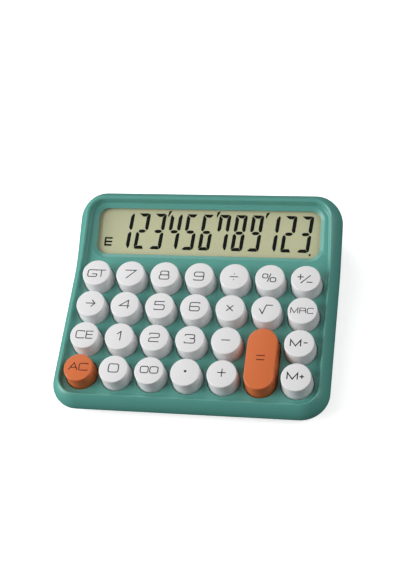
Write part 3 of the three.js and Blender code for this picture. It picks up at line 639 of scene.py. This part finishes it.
def make_top_housing():
    rim = rim_rings()
    rim[-1] = on_face(rim[-1])
    groups, mouths, feet = [skin(rim)], [], []
    for name, _, x, y in key_places():
        mouth = on_face(key_loop(name, x, y, KEY_HOLE_RADIUS + HOLE_EDGE, 0))
        foot = on_face(key_loop(name, x, y, KEY_HOLE_RADIUS, 0), PLATE_THICKNESS)
        groups.append(skin([mouth, key_loop(name, x, y, KEY_HOLE_RADIUS, -HOLE_EDGE), foot]))
        mouths.append(mouth)
        feet.append(foot)
    bevel = [on_face(window_ring(BEVEL_WIDTH, 0))]
    slope = BEVEL_DEPTH / BEVEL_WIDTH
    for outset in (BEVEL_WIDTH - BEVEL_EDGE, BEVEL_EDGE):
        bevel.append(window_ring(outset, (outset - BEVEL_WIDTH) * slope))
    bevel += [window_ring(0, -BEVEL_DEPTH), window_ring(0, -WINDOW_LIP)]
    pocket = on_face(pocket_loop(-PLATE_THICKNESS), PLATE_THICKNESS)
    lip = pocket_loop(-WINDOW_LIP)
    groups += [skin(bevel), skin([pocket, lip])]
    groups.append(plate(rim[-1], mouths + [bevel[0]], deck_face, bend_grid()))
    groups.append(plate(rim[0], feet + [pocket], lambda y: deck_face(y) - PLATE_THICKNESS, bend_grid()))
    groups.append(plate(lip, [bevel[-1]], display_level(-WINDOW_LIP), []))
    made = finished(mesh_object("top_shell", *merged(groups), DECK), GREEN)
    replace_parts(made, "top_housing")


make_top_housing()


# Key caps
def make_key(name, x, y):
    profile = [(KEY_FLANGE_RADIUS, KEY_FLANGE_BOTTOM), (KEY_FLANGE_RADIUS, KEY_FLANGE_TOP)]
    profile.append((KEY_BASE_RADIUS, KEY_FLANGE_TOP))
    profile += arc((KEY_TOP_RADIUS - KEY_EDGE, KEY_HEIGHT - KEY_EDGE), KEY_EDGE, 0, 1, EDGE_STEPS)
    rings = [key_loop(name, x, y, radius, level) for radius, level in profile]
    look = ORANGE if name in ORANGE_KEYS else WHITE
    made = finished(mesh_object("cap_" + name, *skin(rings, ends=True), DECK), look, "key_" + name)
    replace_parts(made, "key_" + name)


# Silicone sheet under the keys: each dome is its own piece
def make_keypad():
    outer = outline(SHEET_HALF_WIDTH, -SHEET_HALF_DEPTH, SHEET_HALF_DEPTH, SHEET_CORNER, [])
    bosses = SCREW_PLACES + BOARD_SCREW_PLACES
    groups, borders, mouths = [], [], []
    for level in (SHEET_TOP, SHEET_BOTTOM):
        borders.append(flat_ring(outer, 0, level))
        mouths.append([circle(x, y, BOSS_HOLE_RADIUS, level) for x, y in bosses])
        groups.append(plate(borders[-1], mouths[-1], lambda y: level, []))
    groups.append(skin(borders))
    groups += [skin(pair) for pair in zip(*mouths)]
    sheet = finished(mesh_object("keypad_membrane", *merged(groups), DECK), SILICONE)
    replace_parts(sheet, "keypad_sheet")
    for name, _, x, y in key_places():
        make_dome(name, x, [y, y - KEY_PITCH] if name == "equals" else [y])


def make_dome(name, x, ys):
    """A web that rises from the sheet to a round pad, under one key."""
    top = KEY_FLANGE_BOTTOM - FIT_GAP
    profile = [
        (DOME_RADIUS, SHEET_TOP),
        (DOME_RADIUS - DOME_EDGE, SHEET_TOP + DOME_EDGE),
        (DOME_TOP_RADIUS + DOME_EDGE, top - 2 * DOME_EDGE),
    ]
    profile += arc((DOME_TOP_RADIUS - DOME_EDGE, top - DOME_EDGE), DOME_EDGE, 0, 1, SMALL_EDGE_STEPS)
    groups = []
    for y in ys:
        rings = [circle(x, y, radius, level, DOME_STEPS) for radius, level in profile]
        groups.append(skin(rings, ends=True))
    dome = finished(mesh_object("dome_" + name, *merged(groups), DECK), SILICONE)
    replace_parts(dome, "keypad_sheet")
    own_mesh(dome)


make_keypad()


# Printing: strokes on a plane, in millimetres
ROUNDING_STEPS = 6
ROUNDING_SHARE = 0.49
MITRE_LIMIT = 0.35
LEGEND_CORNER = 1.1
STROKE = 0.5
BOLD_STROKE = 0.6
FINE_STROKE = 0.4
PRINT_THICKNESS = 0.00003


def rounded(points, radius, closed):
    """A path with its corners rounded, apart from points that carry a third value."""
    result = []
    count = len(points)
    for place, point in enumerate(points):
        here = Vector(point[:2])
        if len(point) > 2 or radius == 0 or (not closed and place in (0, count - 1)):
            result.append(here)
            continue
        back = Vector(points[place - 1][:2]) - here
        onward = Vector(points[(place + 1) % count][:2]) - here
        reach = min(radius, back.length * ROUNDING_SHARE, onward.length * ROUNDING_SHARE)
        start = here + back.normalized() * reach
        end = here + onward.normalized() * reach
        for step in range(ROUNDING_STEPS + 1):
            share = step / ROUNDING_STEPS
            result.append(start.lerp(here, share).lerp(here.lerp(end, share), share))
    return result


def ribbon(path, width, closed=False):
    """Cells of a stroke of a width along a path, with mitred corners."""
    count = len(path)
    sides = []
    for place, here in enumerate(path):
        ways = []
        if closed or place > 0:
            ways.append((here - path[place - 1]).normalized())
        if closed or place < count - 1:
            ways.append((path[(place + 1) % count] - here).normalized())
        way = (ways[0] + ways[-1]).normalized()
        across = Vector((-way.y, way.x)) * width / 2 / max(way.dot(ways[0]), MITRE_LIMIT)
        sides.append((here + across, here - across))
    last = count if closed else count - 1
    pairs = [(sides[place], sides[(place + 1) % count]) for place in range(last)]
    return [[a[0], b[0], b[1], a[1]] for a, b in pairs]


def line(*points, stroke=STROKE):
    """A stroke with sharp corners."""
    return ribbon(rounded(points, 0, False), stroke)


def curved(*points, radius=LEGEND_CORNER, stroke=STROKE):
    """A stroke with rounded corners."""
    return ribbon(rounded(points, radius, False), stroke)


def oblong(left, right, low, high, radius=LEGEND_CORNER):
    """A closed stroke round a rectangle with rounded corners."""
    corners = [(left, low), (right, low), (right, high), (left, high)]
    return ribbon(rounded(corners, radius, True), STROKE, closed=True)


def grown(points, edge):
    """A closed outline moved outwards by an edge."""
    cells = ribbon(points, 2 * edge, closed=True)
    sides = [[cell[0] for cell in cells], [cell[3] for cell in cells]]
    return max(sides, key=lambda side: abs(sum(a.cross(b) for a, b in zip(side, side[1:] + side[:1]))))


def dot(x, y, radius):
    return [[Vector(point) for point in arc((x, y), radius, 0, 4, DOT_STEPS)[:-1]]]


def print_cells(name, cells, place, level, look, body):
    """Cells joined to one thin film of print that lies at a level of the placing frame."""
    points, faces = triangles(cells, [], lambda x, y: any(inside(x, y, cell) for cell in cells))
    used = sorted({corner for face in faces for corner in face})
    order = {corner: number for number, corner in enumerate(used)}
    faces = [tuple(order[corner] for corner in face) for face in faces]
    edges = {edge for face in faces for edge in zip(face, face[1:] + face[:1])}
    count = len(used)
    film = [
        Vector((points[corner].x * MM, points[corner].y * MM, height))
        for height in (level, level + PRINT_THICKNESS)
        for corner in used
    ]
    sides = [(a, b, b + count, a + count) for a, b in edges if (b, a) not in edges]
    lids = [tuple(corner + count for corner in face) for face in faces]
    made = mesh_object(name, film, [face[::-1] for face in faces] + lids + sides, place)
    return finished(made, look, body)


# Key legends, in millimetres from the middle of the key's top, which each row shifts a little in y
ROW_SHIFTS = (-0.5, 0.0, 0.0, 0.4)
MEMORY_M = line((-4.5, -1.75), (-4.5, 1.8), (-1.85, -1.6), (0.7, 1.8), (0.7, -1.75), stroke=BOLD_STROKE)
RECALL_M = line(
    (-6.2, -1.75), (-6.1, 1.45), (-4.25, -1.55), (-2.4, 1.45), (-2.5, -1.75),
    stroke=FINE_STROKE,
)
RECALL_R = curved(
    (-1.45, -1.75), (-1.45, 1.3, 0), (1.6, 1.3), (1.6, -0.2), (-1.45, -0.2, 0),
    radius=0.8, stroke=FINE_STROKE,
)
RECALL_R += curved((0.8, -0.2), (1.7, -0.2), (1.7, -1.75), radius=0.7, stroke=FINE_STROKE)
RECALL_C = curved(
    (5.45, 0.85), (5.45, 1.3), (2.5, 1.3), (2.5, -1.7), (5.45, -1.7), (5.45, -1.25),
    radius=0.9, stroke=FINE_STROKE,
)
LEGENDS = {
    "grand_total": curved(
        (0.15, 1.5), (0.15, 2.05), (-4.6, 2.05), (-4.6, -2.1),
        (0.35, -2.1), (0.35, -0.45, 0), (-2.2, -0.45),
    )
    + line((0.5, 2.05), (5.2, 2.05))
    + line((2.87, 2.05), (2.87, -2.1)),
    "7": line((-3.0, 2.45), (3.05, 2.45), (-1.9, -2.55)),
    "8": oblong(-2.2, 2.2, 0.15, 2.5, 1.0) + oblong(-2.65, 2.65, -2.45, 0.15),
    "9": curved(
        (-2.65, -1.85), (-2.65, -2.45), (2.55, -2.45), (2.55, 2.5),
        (-2.65, 2.5), (-2.65, -0.1), (2.55, -0.1, 0),
    ),
    "divide": line((-2.35, 0.25), (2.2, 0.25)) + dot(-0.08, 2.0, 0.3) + dot(-0.08, -1.5, 0.3),
    "percent": oblong(-3.8, -1.1, 0.05, 2.5, 0.9)
    + line((0.4, 2.8), (-1.05, -2.25))
    + oblong(0.4, 3.3, -2.1, 0.4, 0.9),
    "sign": line((-4.4, 1.35), (-1.15, 1.35))
    + line((-2.8, 3.05), (-2.8, -0.35))
    + line((2.55, 2.5), (-2.45, -2.45))
    + line((0.65, -1.75), (3.8, -1.75)),
    "back": line((-2.5, 0), (2.5, 0)) + line((0.5, 2.1), (2.5, 0), (0.5, -2.1)),
    "4": line((1.8, -2.5), (1.8, 2.5), (-2.85, -0.9), (2.75, -0.9)),
    "5": curved(
        (2.65, 2.4), (-2.6, 2.4, 0), (-2.6, 0.4, 0), (2.7, 0.4),
        (2.7, -2.5), (-2.65, -2.5), (-2.65, -1.85),
    ),
    "6": curved(
        (2.6, 1.85), (2.6, 2.45), (-2.55, 2.45), (-2.55, -2.5),
        (2.65, -2.5), (2.65, 0.1), (-2.55, 0.1, 0),
    ),
    "multiply": line((-1.9, 1.5), (1.6, -1.8)) + line((1.6, 1.5), (-1.9, -1.8)),
    "root": line((-3.6, 0.25), (-1.8, -2.7), (-0.1, 2.35), (3.35, 2.35)),
    "memory_recall": RECALL_M + RECALL_R + RECALL_C,
    "clear_entry": curved(
        (-0.15, 1.7), (-0.15, 2.25), (-4.5, 2.25),
        (-4.5, -2.0), (-0.15, -2.0), (-0.15, -1.45),
    )
    + line((4.65, 2.2), (1.05, 2.2), (1.05, -2.0), (4.65, -2.0))
    + line((1.05, 0.2), (4.5, 0.2)),
    "1": line((-1.25, 1.15), (0.68, 2.75), (0.68, -2.5)),
    "2": curved(
        (-2.7, 1.5), (-2.7, 2.4), (2.6, 2.4), (2.6, 0.0),
        (-2.7, -0.35), (-2.7, -2.4, 0), (2.65, -2.4),
    ),
    "3": curved((-2.65, 1.7), (-2.65, 2.45), (2.45, 2.45), (2.45, 0.2), (-0.1, 0.2))
    + curved((0.6, 0.2), (2.7, 0.2), (2.7, -2.45), (-2.7, -2.45), (-2.7, -1.7)),
    "minus": line((-2.4, 0.15), (2.15, 0.15)),
    "equals": line((-2.3, -7.85), (2.2, -7.85)) + line((-2.2, -10.2), (2.1, -10.2)),
    "memory_minus": MEMORY_M + line((2.2, 0.3), (4.15, 0.3), stroke=BOLD_STROKE),
    "all_clear": line((-5.0, -2.05), (-2.45, 2.0), (-0.3, -2.05))
    + line((-4.15, -0.65), (-1.05, -0.65))
    + curved((5.1, 1.35), (5.1, 1.85), (0.5, 1.85), (0.5, -2.0), (5.1, -2.0), (5.1, -1.5)),
    "0": oblong(-2.65, 2.7, -2.3, 2.35, 1.3),
    "00": oblong(-4.6, -0.45, -1.85, 1.75) + oblong(0.5, 4.75, -1.85, 1.75),
    "point": dot(0.05, 0.05, 0.68),
    "plus": line((-2.3, 0.2), (2.2, 0.2)) + line((0.05, 2.35), (0.05, -2.2)),
    "memory_plus": MEMORY_M
    + line((1.8, -0.1), (4.05, -0.1), stroke=BOLD_STROKE)
    + line((2.93, 1.0), (2.93, -1.2), stroke=BOLD_STROKE),
}


def make_keys():
    for name, row, x, y in key_places():
        make_key(name, x, y)
        place = DECK @ Matrix.Translation((x, y + ROW_SHIFTS[row] * MM, 0))
        look = PRINT_BROWN if name in ORANGE_KEYS else PRINT_DARK
        print_cells("legend_" + name, LEGENDS[name], place, KEY_HEIGHT, look, "key_" + name)


make_keys()


# Figures of the display: segments in millimetres from a figure's middle, before its slant
SEGMENTS = {
    "a": [(-2.95, 10.15), (2.05, 10.15), (2.0, 9.75), (0.95, 8.55), (-0.75, 8.55), (-1.7, 9.1)],
    "b": [
        (1.4, 1.95), (2.15, 0.85), (2.75, 0.85), (3.15, 1.5),
        (3.15, 8.9), (2.95, 9.7), (2.5, 9.95), (1.4, 8.2),
    ],
    "c": [
        (1.4, -1.87), (2.15, -0.75), (2.75, -0.75), (3.15, -1.4),
        (3.15, -8.5), (2.75, -9.7), (2.35, -9.75), (1.4, -7.92),
    ],
    "d": [
        (-2.95, -9.75), (-2.2, -8.95), (-1.6, -8.5), (1.2, -8.4),
        (2.1, -9.9), (2.0, -10.1), (-1.9, -10.1),
    ],
    "e": [
        (-3.15, -1.4), (-2.75, -0.75), (-2.15, -0.75), (-1.4, -1.87),
        (-1.4, -7.9), (-3.0, -9.15), (-3.15, -8.9),
    ],
    "f": [
        (-3.15, 1.5), (-2.75, 0.85), (-2.15, 0.85), (-1.4, 1.97),
        (-1.4, 7.93), (-2.85, 9.5), (-3.15, 9.0),
    ],
    "g": [
        (-2.0, 0.05), (-1.35, 0.7), (-0.6, 0.85), (0.7, 0.85), (1.4, 0.7),
        (2.0, 0.05), (1.4, -0.6), (0.6, -0.8), (-0.7, -0.8), (-1.4, -0.6),
    ],
}
FIGURE_SEGMENTS = {
    "1": "bc",
    "2": "abged",
    "3": "abgcd",
    "4": "fgbc",
    "5": "afgcd",
    "6": "afgecd",
    "7": "fabc",
    "8": "abcdefg",
    "9": "abcdfg",
}
FIGURES = "123456789123"
FIGURE_PITCH = 9.11
FIRST_FIGURE_X = -46.42
FIGURE_MIDDLE = 19.0
FIGURE_SLANT = 0.1
SEGMENT_ROUNDING = 0.2
SEGMENT_EDGE = 0.12
# Marks after the thousands, the point after the last figure, and the sign at the left
TICK = [(5.75, 11.9), (4.5, 11.55), (4.25, 9.6), (4.45, 8.75)]
TICK_EDGE = 0.18
TICKED_FIGURES = (2, 5, 8)
POINT_PLACE = (3.95, -11.3)
POINT_RADIUS = 0.62
SIGN_STROKE = 0.95
SIGN_LINES = (
    ((-53.85, 14.7), (-57.85, 14.7), (-58.0, 10.65), (-54.2, 10.65)),
    ((-57.9, 12.65), (-53.95, 12.65)),
)


def slanted(points, middle):
    """Points of an upright figure, leant to the right and moved to its place."""
    return [Vector((middle + x + FIGURE_SLANT * y, FIGURE_MIDDLE + y)) for x, y in points]


def make_figures():
    cells = []
    for place, figure in enumerate(FIGURES):
        middle = FIRST_FIGURE_X + FIGURE_PITCH * place
        for segment in FIGURE_SEGMENTS[figure]:
            shape = grown(slanted(SEGMENTS[segment], middle), SEGMENT_EDGE)
            cells.append(rounded(shape, SEGMENT_ROUNDING, True))
        if place in TICKED_FIGURES:
            cells.append(grown(slanted(TICK, middle), TICK_EDGE))
    corner = slanted([POINT_PLACE], middle)[0]
    cells += dot(corner.x, corner.y, POINT_RADIUS)
    for points in SIGN_LINES:
        cells += ribbon([Vector(point) for point in points], SIGN_STROKE)
    print_cells("display_figures", cells, DISPLAY, LCD_TOP, SEGMENT, "housing")


make_figures()


# Bottom housing and battery cover
def floor_edge(y, height):
    """Y place in the part's frame of a deck place y on a plane level with the table."""
    return (DECK @ Vector((0, y, base_plane(y, height)))).y


BAY_REAR = floor_edge(DECK_REAR - BASE_INSET - BASE_FLOOR / 2, BASE_TOP)
BAY_FRONT = BAY_REAR - BAY_DEPTH
LUG_FRONT = BAY_FRONT + 2 * FIT_GAP
LUG_REAR = LUG_FRONT + LUG_LENGTH
# Inset and depth of the base's outer rings from the seam down, as shares of the whole
SHELL_SHARES = ((0, 0), (0.36, 0.4), (0.62, 0.7), (0.74, 0.82), (0.86, 0.92))


def foot_plane(y):
    return base_plane(y, FOOT_PROUD)


def shell_rings():
    """Outer rings of the base in the deck's frame, from the seam down to its foot."""
    rings = []
    for inset_share, depth_share in SHELL_SHARES:
        inset = SEAM_STEP + (BASE_INSET - SEAM_STEP) * inset_share
        tuck = 1 - inset_share
        rings.append(
            ring(
                BODY,
                lambda y: inset + tuck * lean(y),
                lambda y: SEAM_BOTTOM + (foot_plane(y) - SEAM_BOTTOM) * depth_share,
            )
        )
    edge = BASE_EDGE / 2
    rings.append(ring(BODY, lambda y: BASE_INSET - edge, lambda y: foot_plane(y) + edge))
    rings.append(ring(BODY, lambda y: BASE_INSET, foot_plane))
    return rings


def inner_rings(with_tongue):
    """Inner rings of the base, from its floor up to the seam, with or without the seam's tongue."""
    wall = SEAM_STEP + BASE_WALL
    floor = ring(BODY, lambda y: BASE_INSET + BASE_FLOOR / 2, lambda y: base_plane(y, BASE_TOP))
    if not with_tongue:
        return [floor, seam_ring(wall, SEAM_BOTTOM)]
    inner = TOP_WALL + FIT_GAP + TONGUE_THICKNESS
    low, high = SEAM_BOTTOM - TONGUE_HEIGHT, SEAM_Z + TONGUE_HEIGHT
    rings = [floor, seam_ring(inner + TONGUE_THICKNESS / 2, low), seam_ring(inner, low)]
    rings += [seam_ring(inner, high), seam_ring(inner - TONGUE_THICKNESS, high)]
    return rings + [seam_ring(inner - TONGUE_THICKNESS, SEAM_BOTTOM)]


def base_shell(name, with_tongue):
    return mesh_object(name, *skin(inner_rings(with_tongue) + shell_rings(), ends=True), DECK)


def cover_space(gap):
    """The box that the battery cover fills, grown by a gap."""
    return block(
        (-COVER_HALF_WIDTH - gap, BAY_FRONT + FIT_GAP - gap, -OVERRUN),
        (COVER_HALF_WIDTH + gap, BAY_REAR + BAY_DEPTH, FOOT_PROUD + COVER_LIP_HEIGHT + gap),
    )


def span(side, inner, outer, ys, zs):
    """A box on the left (-1) or right (1) side, between two distances from the middle."""
    xs = sorted((side * inner, side * outer))
    return block((xs[0], ys[0], zs[0]), (xs[1], ys[1], zs[1]))


def bay_walls():
    """Walls round the battery bay, with a way through for the cover's tongue."""
    low, outer = BASE_TOP - BASE_FLOOR / 2, BAY_HALF_LENGTH + BAY_WALL
    high = BASE_TOP + BAY_WALL_HEIGHT
    way = COVER_TONGUE_HALF_WIDTH + FIT_GAP
    walls = [block((-outer, BAY_FRONT - BAY_WALL, LUG_HIGH + FIT_GAP), (outer, BAY_FRONT, high))]
    for side in (-1, 1):
        walls.append(span(side, way, outer, (BAY_FRONT - BAY_WALL, BAY_FRONT), (low, high)))
        ys = (BAY_FRONT - BAY_WALL, BAY_REAR + FIT_GAP)
        walls.append(span(side, BAY_HALF_LENGTH, outer, ys, (low, high)))
    return walls


def floor_ribs():
    front = floor_edge(DECK_FRONT + BASE_INSET + BASE_FLOOR / 2, BASE_TOP)
    low, high, half = BASE_TOP - BASE_FLOOR / 2, BASE_TOP + RIB_HEIGHT, RIB_THICKNESS / 2
    rear = BAY_FRONT - BAY_WALL / 2
    ribs = [block((x - half, front, low), (x + half, rear, high)) for x in (-RIB_X, RIB_X)]
    return ribs + [block((-RIB_X, DECK_Y - half, low), (RIB_X, DECK_Y + half, high))]


def lug_ways():
    """Cuts along which the cover's lugs slide, and notches where they come free."""
    ways = []
    outer, high = COVER_HALF_WIDTH + LUG_REACH + FIT_GAP, LUG_HIGH + FIT_GAP
    rear = LUG_REAR + COVER_TRAVEL + FIT_GAP
    for side in (-1, 1):
        ways.append(span(side, COVER_HALF_WIDTH, outer, (LUG_FRONT - FIT_GAP, rear), (BASE_TOP, high)))
        notch = (LUG_FRONT + COVER_TRAVEL - FIT_GAP, rear)
        ways.append(span(side, COVER_HALF_WIDTH, outer, notch, (-OVERRUN, high)))
    return ways


def foot_places():
    front = floor_edge(DECK_FRONT + BASE_INSET, FOOT_PROUD) + FOOT_MARGIN
    rear = floor_edge(DECK_REAR - BASE_INSET, FOOT_PROUD) - FOOT_MARGIN
    x = DECK_HALF_WIDTH - BASE_INSET - FOOT_MARGIN
    return {
        "front_left": (-x, front),
        "front_right": (x, front),
        "rear_left": (-x, rear),
        "rear_right": (x, rear),
    }


def make_bottom_housing():
    base = base_shell("bottom_shell", True)
    pillars = []
    holes = [cover_space(FIT_GAP), *lug_ways()]
    for x, y in SCREW_PLACES:
        foot = foot_plane(y)
        pillars.append(moved(post(x, y, PILLAR_RADIUS, foot + BASE_FLOOR / 2, PILLAR_TOP), DECK))
        holes.append(moved(post(x, y, PILOT_RADIUS, foot - OVERRUN, PILLAR_TOP + OVERRUN), DECK))
        head = post(x, y, SCREW_HEAD_RADIUS + FIT_GAP, foot - OVERRUN, foot + SCREW_SINK)
        holes.append(moved(head, DECK))
    for x, y in foot_places().values():
        holes.append(post(x, y, FOOT_RADIUS + FIT_GAP, -OVERRUN, FOOT_THICKNESS + FIT_GAP))
    walls = bay_walls() + floor_ribs() + pillars
    boolean(base, mesh_object("inner_walls", *merged(walls), PART), "UNION")
    boolean(base, mesh_object("base_cuts", *merged(holes), PART), "DIFFERENCE")
    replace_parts(finished(base, GREEN), "bottom_housing")


def cover_lugs():
    """Tongue, lugs and battery rails on the inside of the cover."""
    low = BASE_TOP - BASE_FLOOR / 2
    half = COVER_TONGUE_HALF_WIDTH
    lugs = [
        block((-half, BAY_FRONT - LUG_REACH, LUG_LOW), (half, LUG_REAR, LUG_HIGH)),
        block((-half, BAY_FRONT + FIT_GAP, low), (half, LUG_REAR, LUG_HIGH)),
    ]
    for side in (-1, 1):
        inner, outer = COVER_HALF_WIDTH - LUG_ROOT, COVER_HALF_WIDTH + LUG_REACH
        lugs.append(span(side, inner, outer, (LUG_FRONT, LUG_REAR), (LUG_LOW, LUG_HIGH)))
        lugs.append(span(side, inner, COVER_HALF_WIDTH, (LUG_FRONT, LUG_REAR), (low, LUG_HIGH)))
        rail = (RAIL_X - RIB_THICKNESS / 2, RAIL_X + RIB_THICKNESS / 2)
        lugs.append(span(side, *rail, (LUG_FRONT, BAY_REAR - 2 * FIT_GAP), (low, LUG_HIGH)))
    return lugs


def grip_grooves():
    """Grooves that give a thumb hold on the outside of the cover."""
    middle = (BAY_FRONT + BAY_REAR) / 2
    high = FOOT_PROUD + GRIP_DEPTH
    grooves = []
    for place in range(GRIP_COUNT):
        front = middle + (place - GRIP_COUNT / 2) * 2 * GRIP_RIDGE
        rear = front + GRIP_RIDGE
        grooves.append(block((-GRIP_HALF_WIDTH, front, -OVERRUN), (GRIP_HALF_WIDTH, rear, high)))
    return grooves


def make_battery_cover():
    cover = base_shell("cover_shell", False)
    boolean(cover, mesh_object("cover_space", *cover_space(0), PART), "INTERSECT")
    boolean(cover, mesh_object("cover_lugs", *merged(cover_lugs()), PART), "UNION")
    boolean(cover, mesh_object("grip_cuts", *merged(grip_grooves()), PART), "DIFFERENCE")
    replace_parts(finished(cover, GREEN, "battery_cover"), "battery_cover")


make_bottom_housing()
make_battery_cover()


# Feet and housing screws
CROSS_REACH = 0.0012
CROSS_HALF_WIDTH = 0.00022
CROSS_DEPTH = 0.0005
HEAD_EDGE = 0.0003


def turned(profile, x, y):
    """A round skin of a profile of radii and heights."""
    return skin([circle(x, y, radius, level) for radius, level in profile], ends=True)


def make_feet():
    for name, (x, y) in foot_places().items():
        profile = arc((FOOT_RADIUS - FOOT_EDGE, FOOT_EDGE), FOOT_EDGE, 3, 4, FOOT_EDGE_STEPS)
        profile.append((FOOT_RADIUS, FOOT_THICKNESS))
        pad = finished(mesh_object("pad_" + name, *turned(profile, x, y), PART), RUBBER)
        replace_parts(pad, "foot_" + name)


def make_screws():
    for place, (x, y) in enumerate(SCREW_PLACES, 1):
        seat = foot_plane(y) + SCREW_SINK
        face = seat - SCREW_HEAD_HEIGHT
        edge = (SCREW_HEAD_RADIUS - HEAD_EDGE, face + HEAD_EDGE)
        profile = arc(edge, HEAD_EDGE, 3, 4, SMALL_EDGE_STEPS)
        profile += [(SCREW_HEAD_RADIUS, seat), (SCREW_RADIUS, seat), (SCREW_RADIUS, SCREW_TIP)]
        made = mesh_object("screw_%d" % place, *turned(profile, x, y), DECK)
        slots = []
        for reach_x, reach_y in ((CROSS_REACH, CROSS_HALF_WIDTH), (CROSS_HALF_WIDTH, CROSS_REACH)):
            low = (x - reach_x, y - reach_y, face - OVERRUN)
            slots.append(block(low, (x + reach_x, y + reach_y, face + CROSS_DEPTH)))
        boolean(made, mesh_object("cross_%d" % place, *merged(slots), DECK), "DIFFERENCE")
        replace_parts(finished(made, STEEL), "housing_screw_%d" % place)


make_feet()
make_screws()


# Floor, world and lamps
# The camera sees a pale floor that glows a little; all other rays meet a plain dark grey one.
FLOOR_HALF = 0.8
FLOOR_PLAIN = 0.06
FLOOR_PALE = 0.9
FLOOR_GLOW = 0.55
# The world lights the object more from above than from below, and the camera sees it white.
WORLD_LOW = 0.1
WORLD_HIGH = 0.35
# Name, place, size and power of each lamp, aimed at the middle of the table
LAMPS = (
    ("left_light", (-1.08, -0.3, 0.52), 1.0, 19),
    ("right_light", (1.0, 0, 0.7), 0.9, 5),
    ("rear_light", (-0.5, 0.8, 0.75), 0.8, 4),
)


def grey(level):
    return (level, level, level, 1)


def make_floor():
    low, high = -FLOOR_HALF, FLOOR_HALF
    corners = [(low, low, 0), (high, low, 0), (high, high, 0), (low, high, 0)]
    floor = mesh_object("floor", corners, [(0, 1, 2, 3)], PART)
    made = bpy.data.materials.new("floor")
    made.use_nodes = True
    nodes, links = made.node_tree.nodes, made.node_tree.links
    plain = nodes["Principled BSDF"]
    plain.inputs["Base Color"].default_value = grey(FLOOR_PLAIN)
    plain.inputs["Roughness"].default_value = 1
    plain.inputs["Specular IOR Level"].default_value = 0
    pale = nodes.new("ShaderNodeBsdfDiffuse")
    pale.inputs["Color"].default_value = grey(FLOOR_PALE)
    glow = nodes.new("ShaderNodeEmission")
    glow.inputs["Strength"].default_value = FLOOR_GLOW
    both = nodes.new("ShaderNodeAddShader")
    path = nodes.new("ShaderNodeLightPath")
    choice = nodes.new("ShaderNodeMixShader")
    links.new(pale.outputs["BSDF"], both.inputs[0])
    links.new(glow.outputs["Emission"], both.inputs[1])
    links.new(path.outputs["Is Camera Ray"], choice.inputs[0])
    links.new(plain.outputs["BSDF"], choice.inputs[1])
    links.new(both.outputs["Shader"], choice.inputs[2])
    links.new(choice.outputs["Shader"], nodes["Material Output"].inputs["Surface"])
    floor.data.materials.append(made)


def make_world():
    world = bpy.data.worlds.new("studio")
    bpy.context.scene.world = world
    world.use_nodes = True
    nodes, links = world.node_tree.nodes, world.node_tree.links
    light = nodes["Background"]
    light.inputs["Color"].default_value = grey(1)
    way = nodes.new("ShaderNodeTexCoord")
    parts = nodes.new("ShaderNodeSeparateXYZ")
    level = nodes.new("ShaderNodeMapRange")
    level.inputs["To Min"].default_value = WORLD_LOW
    level.inputs["To Max"].default_value = WORLD_HIGH
    links.new(way.outputs["Generated"], parts.inputs["Vector"])
    links.new(parts.outputs["Z"], level.inputs["Value"])
    links.new(level.outputs["Result"], light.inputs["Strength"])
    white = nodes.new("ShaderNodeBackground")
    white.inputs["Color"].default_value = grey(1)
    white.inputs["Strength"].default_value = 1
    path = nodes.new("ShaderNodeLightPath")
    seen = nodes.new("ShaderNodeMath")
    seen.operation = "MAXIMUM"
    choice = nodes.new("ShaderNodeMixShader")
    links.new(path.outputs["Is Camera Ray"], seen.inputs[0])
    links.new(path.outputs["Is Transmission Ray"], seen.inputs[1])
    links.new(seen.outputs["Value"], choice.inputs[0])
    links.new(light.outputs["Background"], choice.inputs[1])
    links.new(white.outputs["Background"], choice.inputs[2])
    links.new(choice.outputs["Shader"], nodes["World Output"].inputs["Surface"])


def make_lamp(name, place, size, power):
    data = bpy.data.lights.new(name, "AREA")
    data.shape = "DISK"
    data.size = size
    data.energy = power
    lamp = bpy.data.objects.new(name, data)
    bpy.context.scene.collection.objects.link(lamp)
    turn = (-Vector(place)).to_track_quat("-Z", "Y").to_matrix().to_4x4()
    lamp.matrix_world = Matrix.Translation(place) @ turn


make_floor()
make_world()
for lamp in LAMPS:
    make_lamp(*lamp)
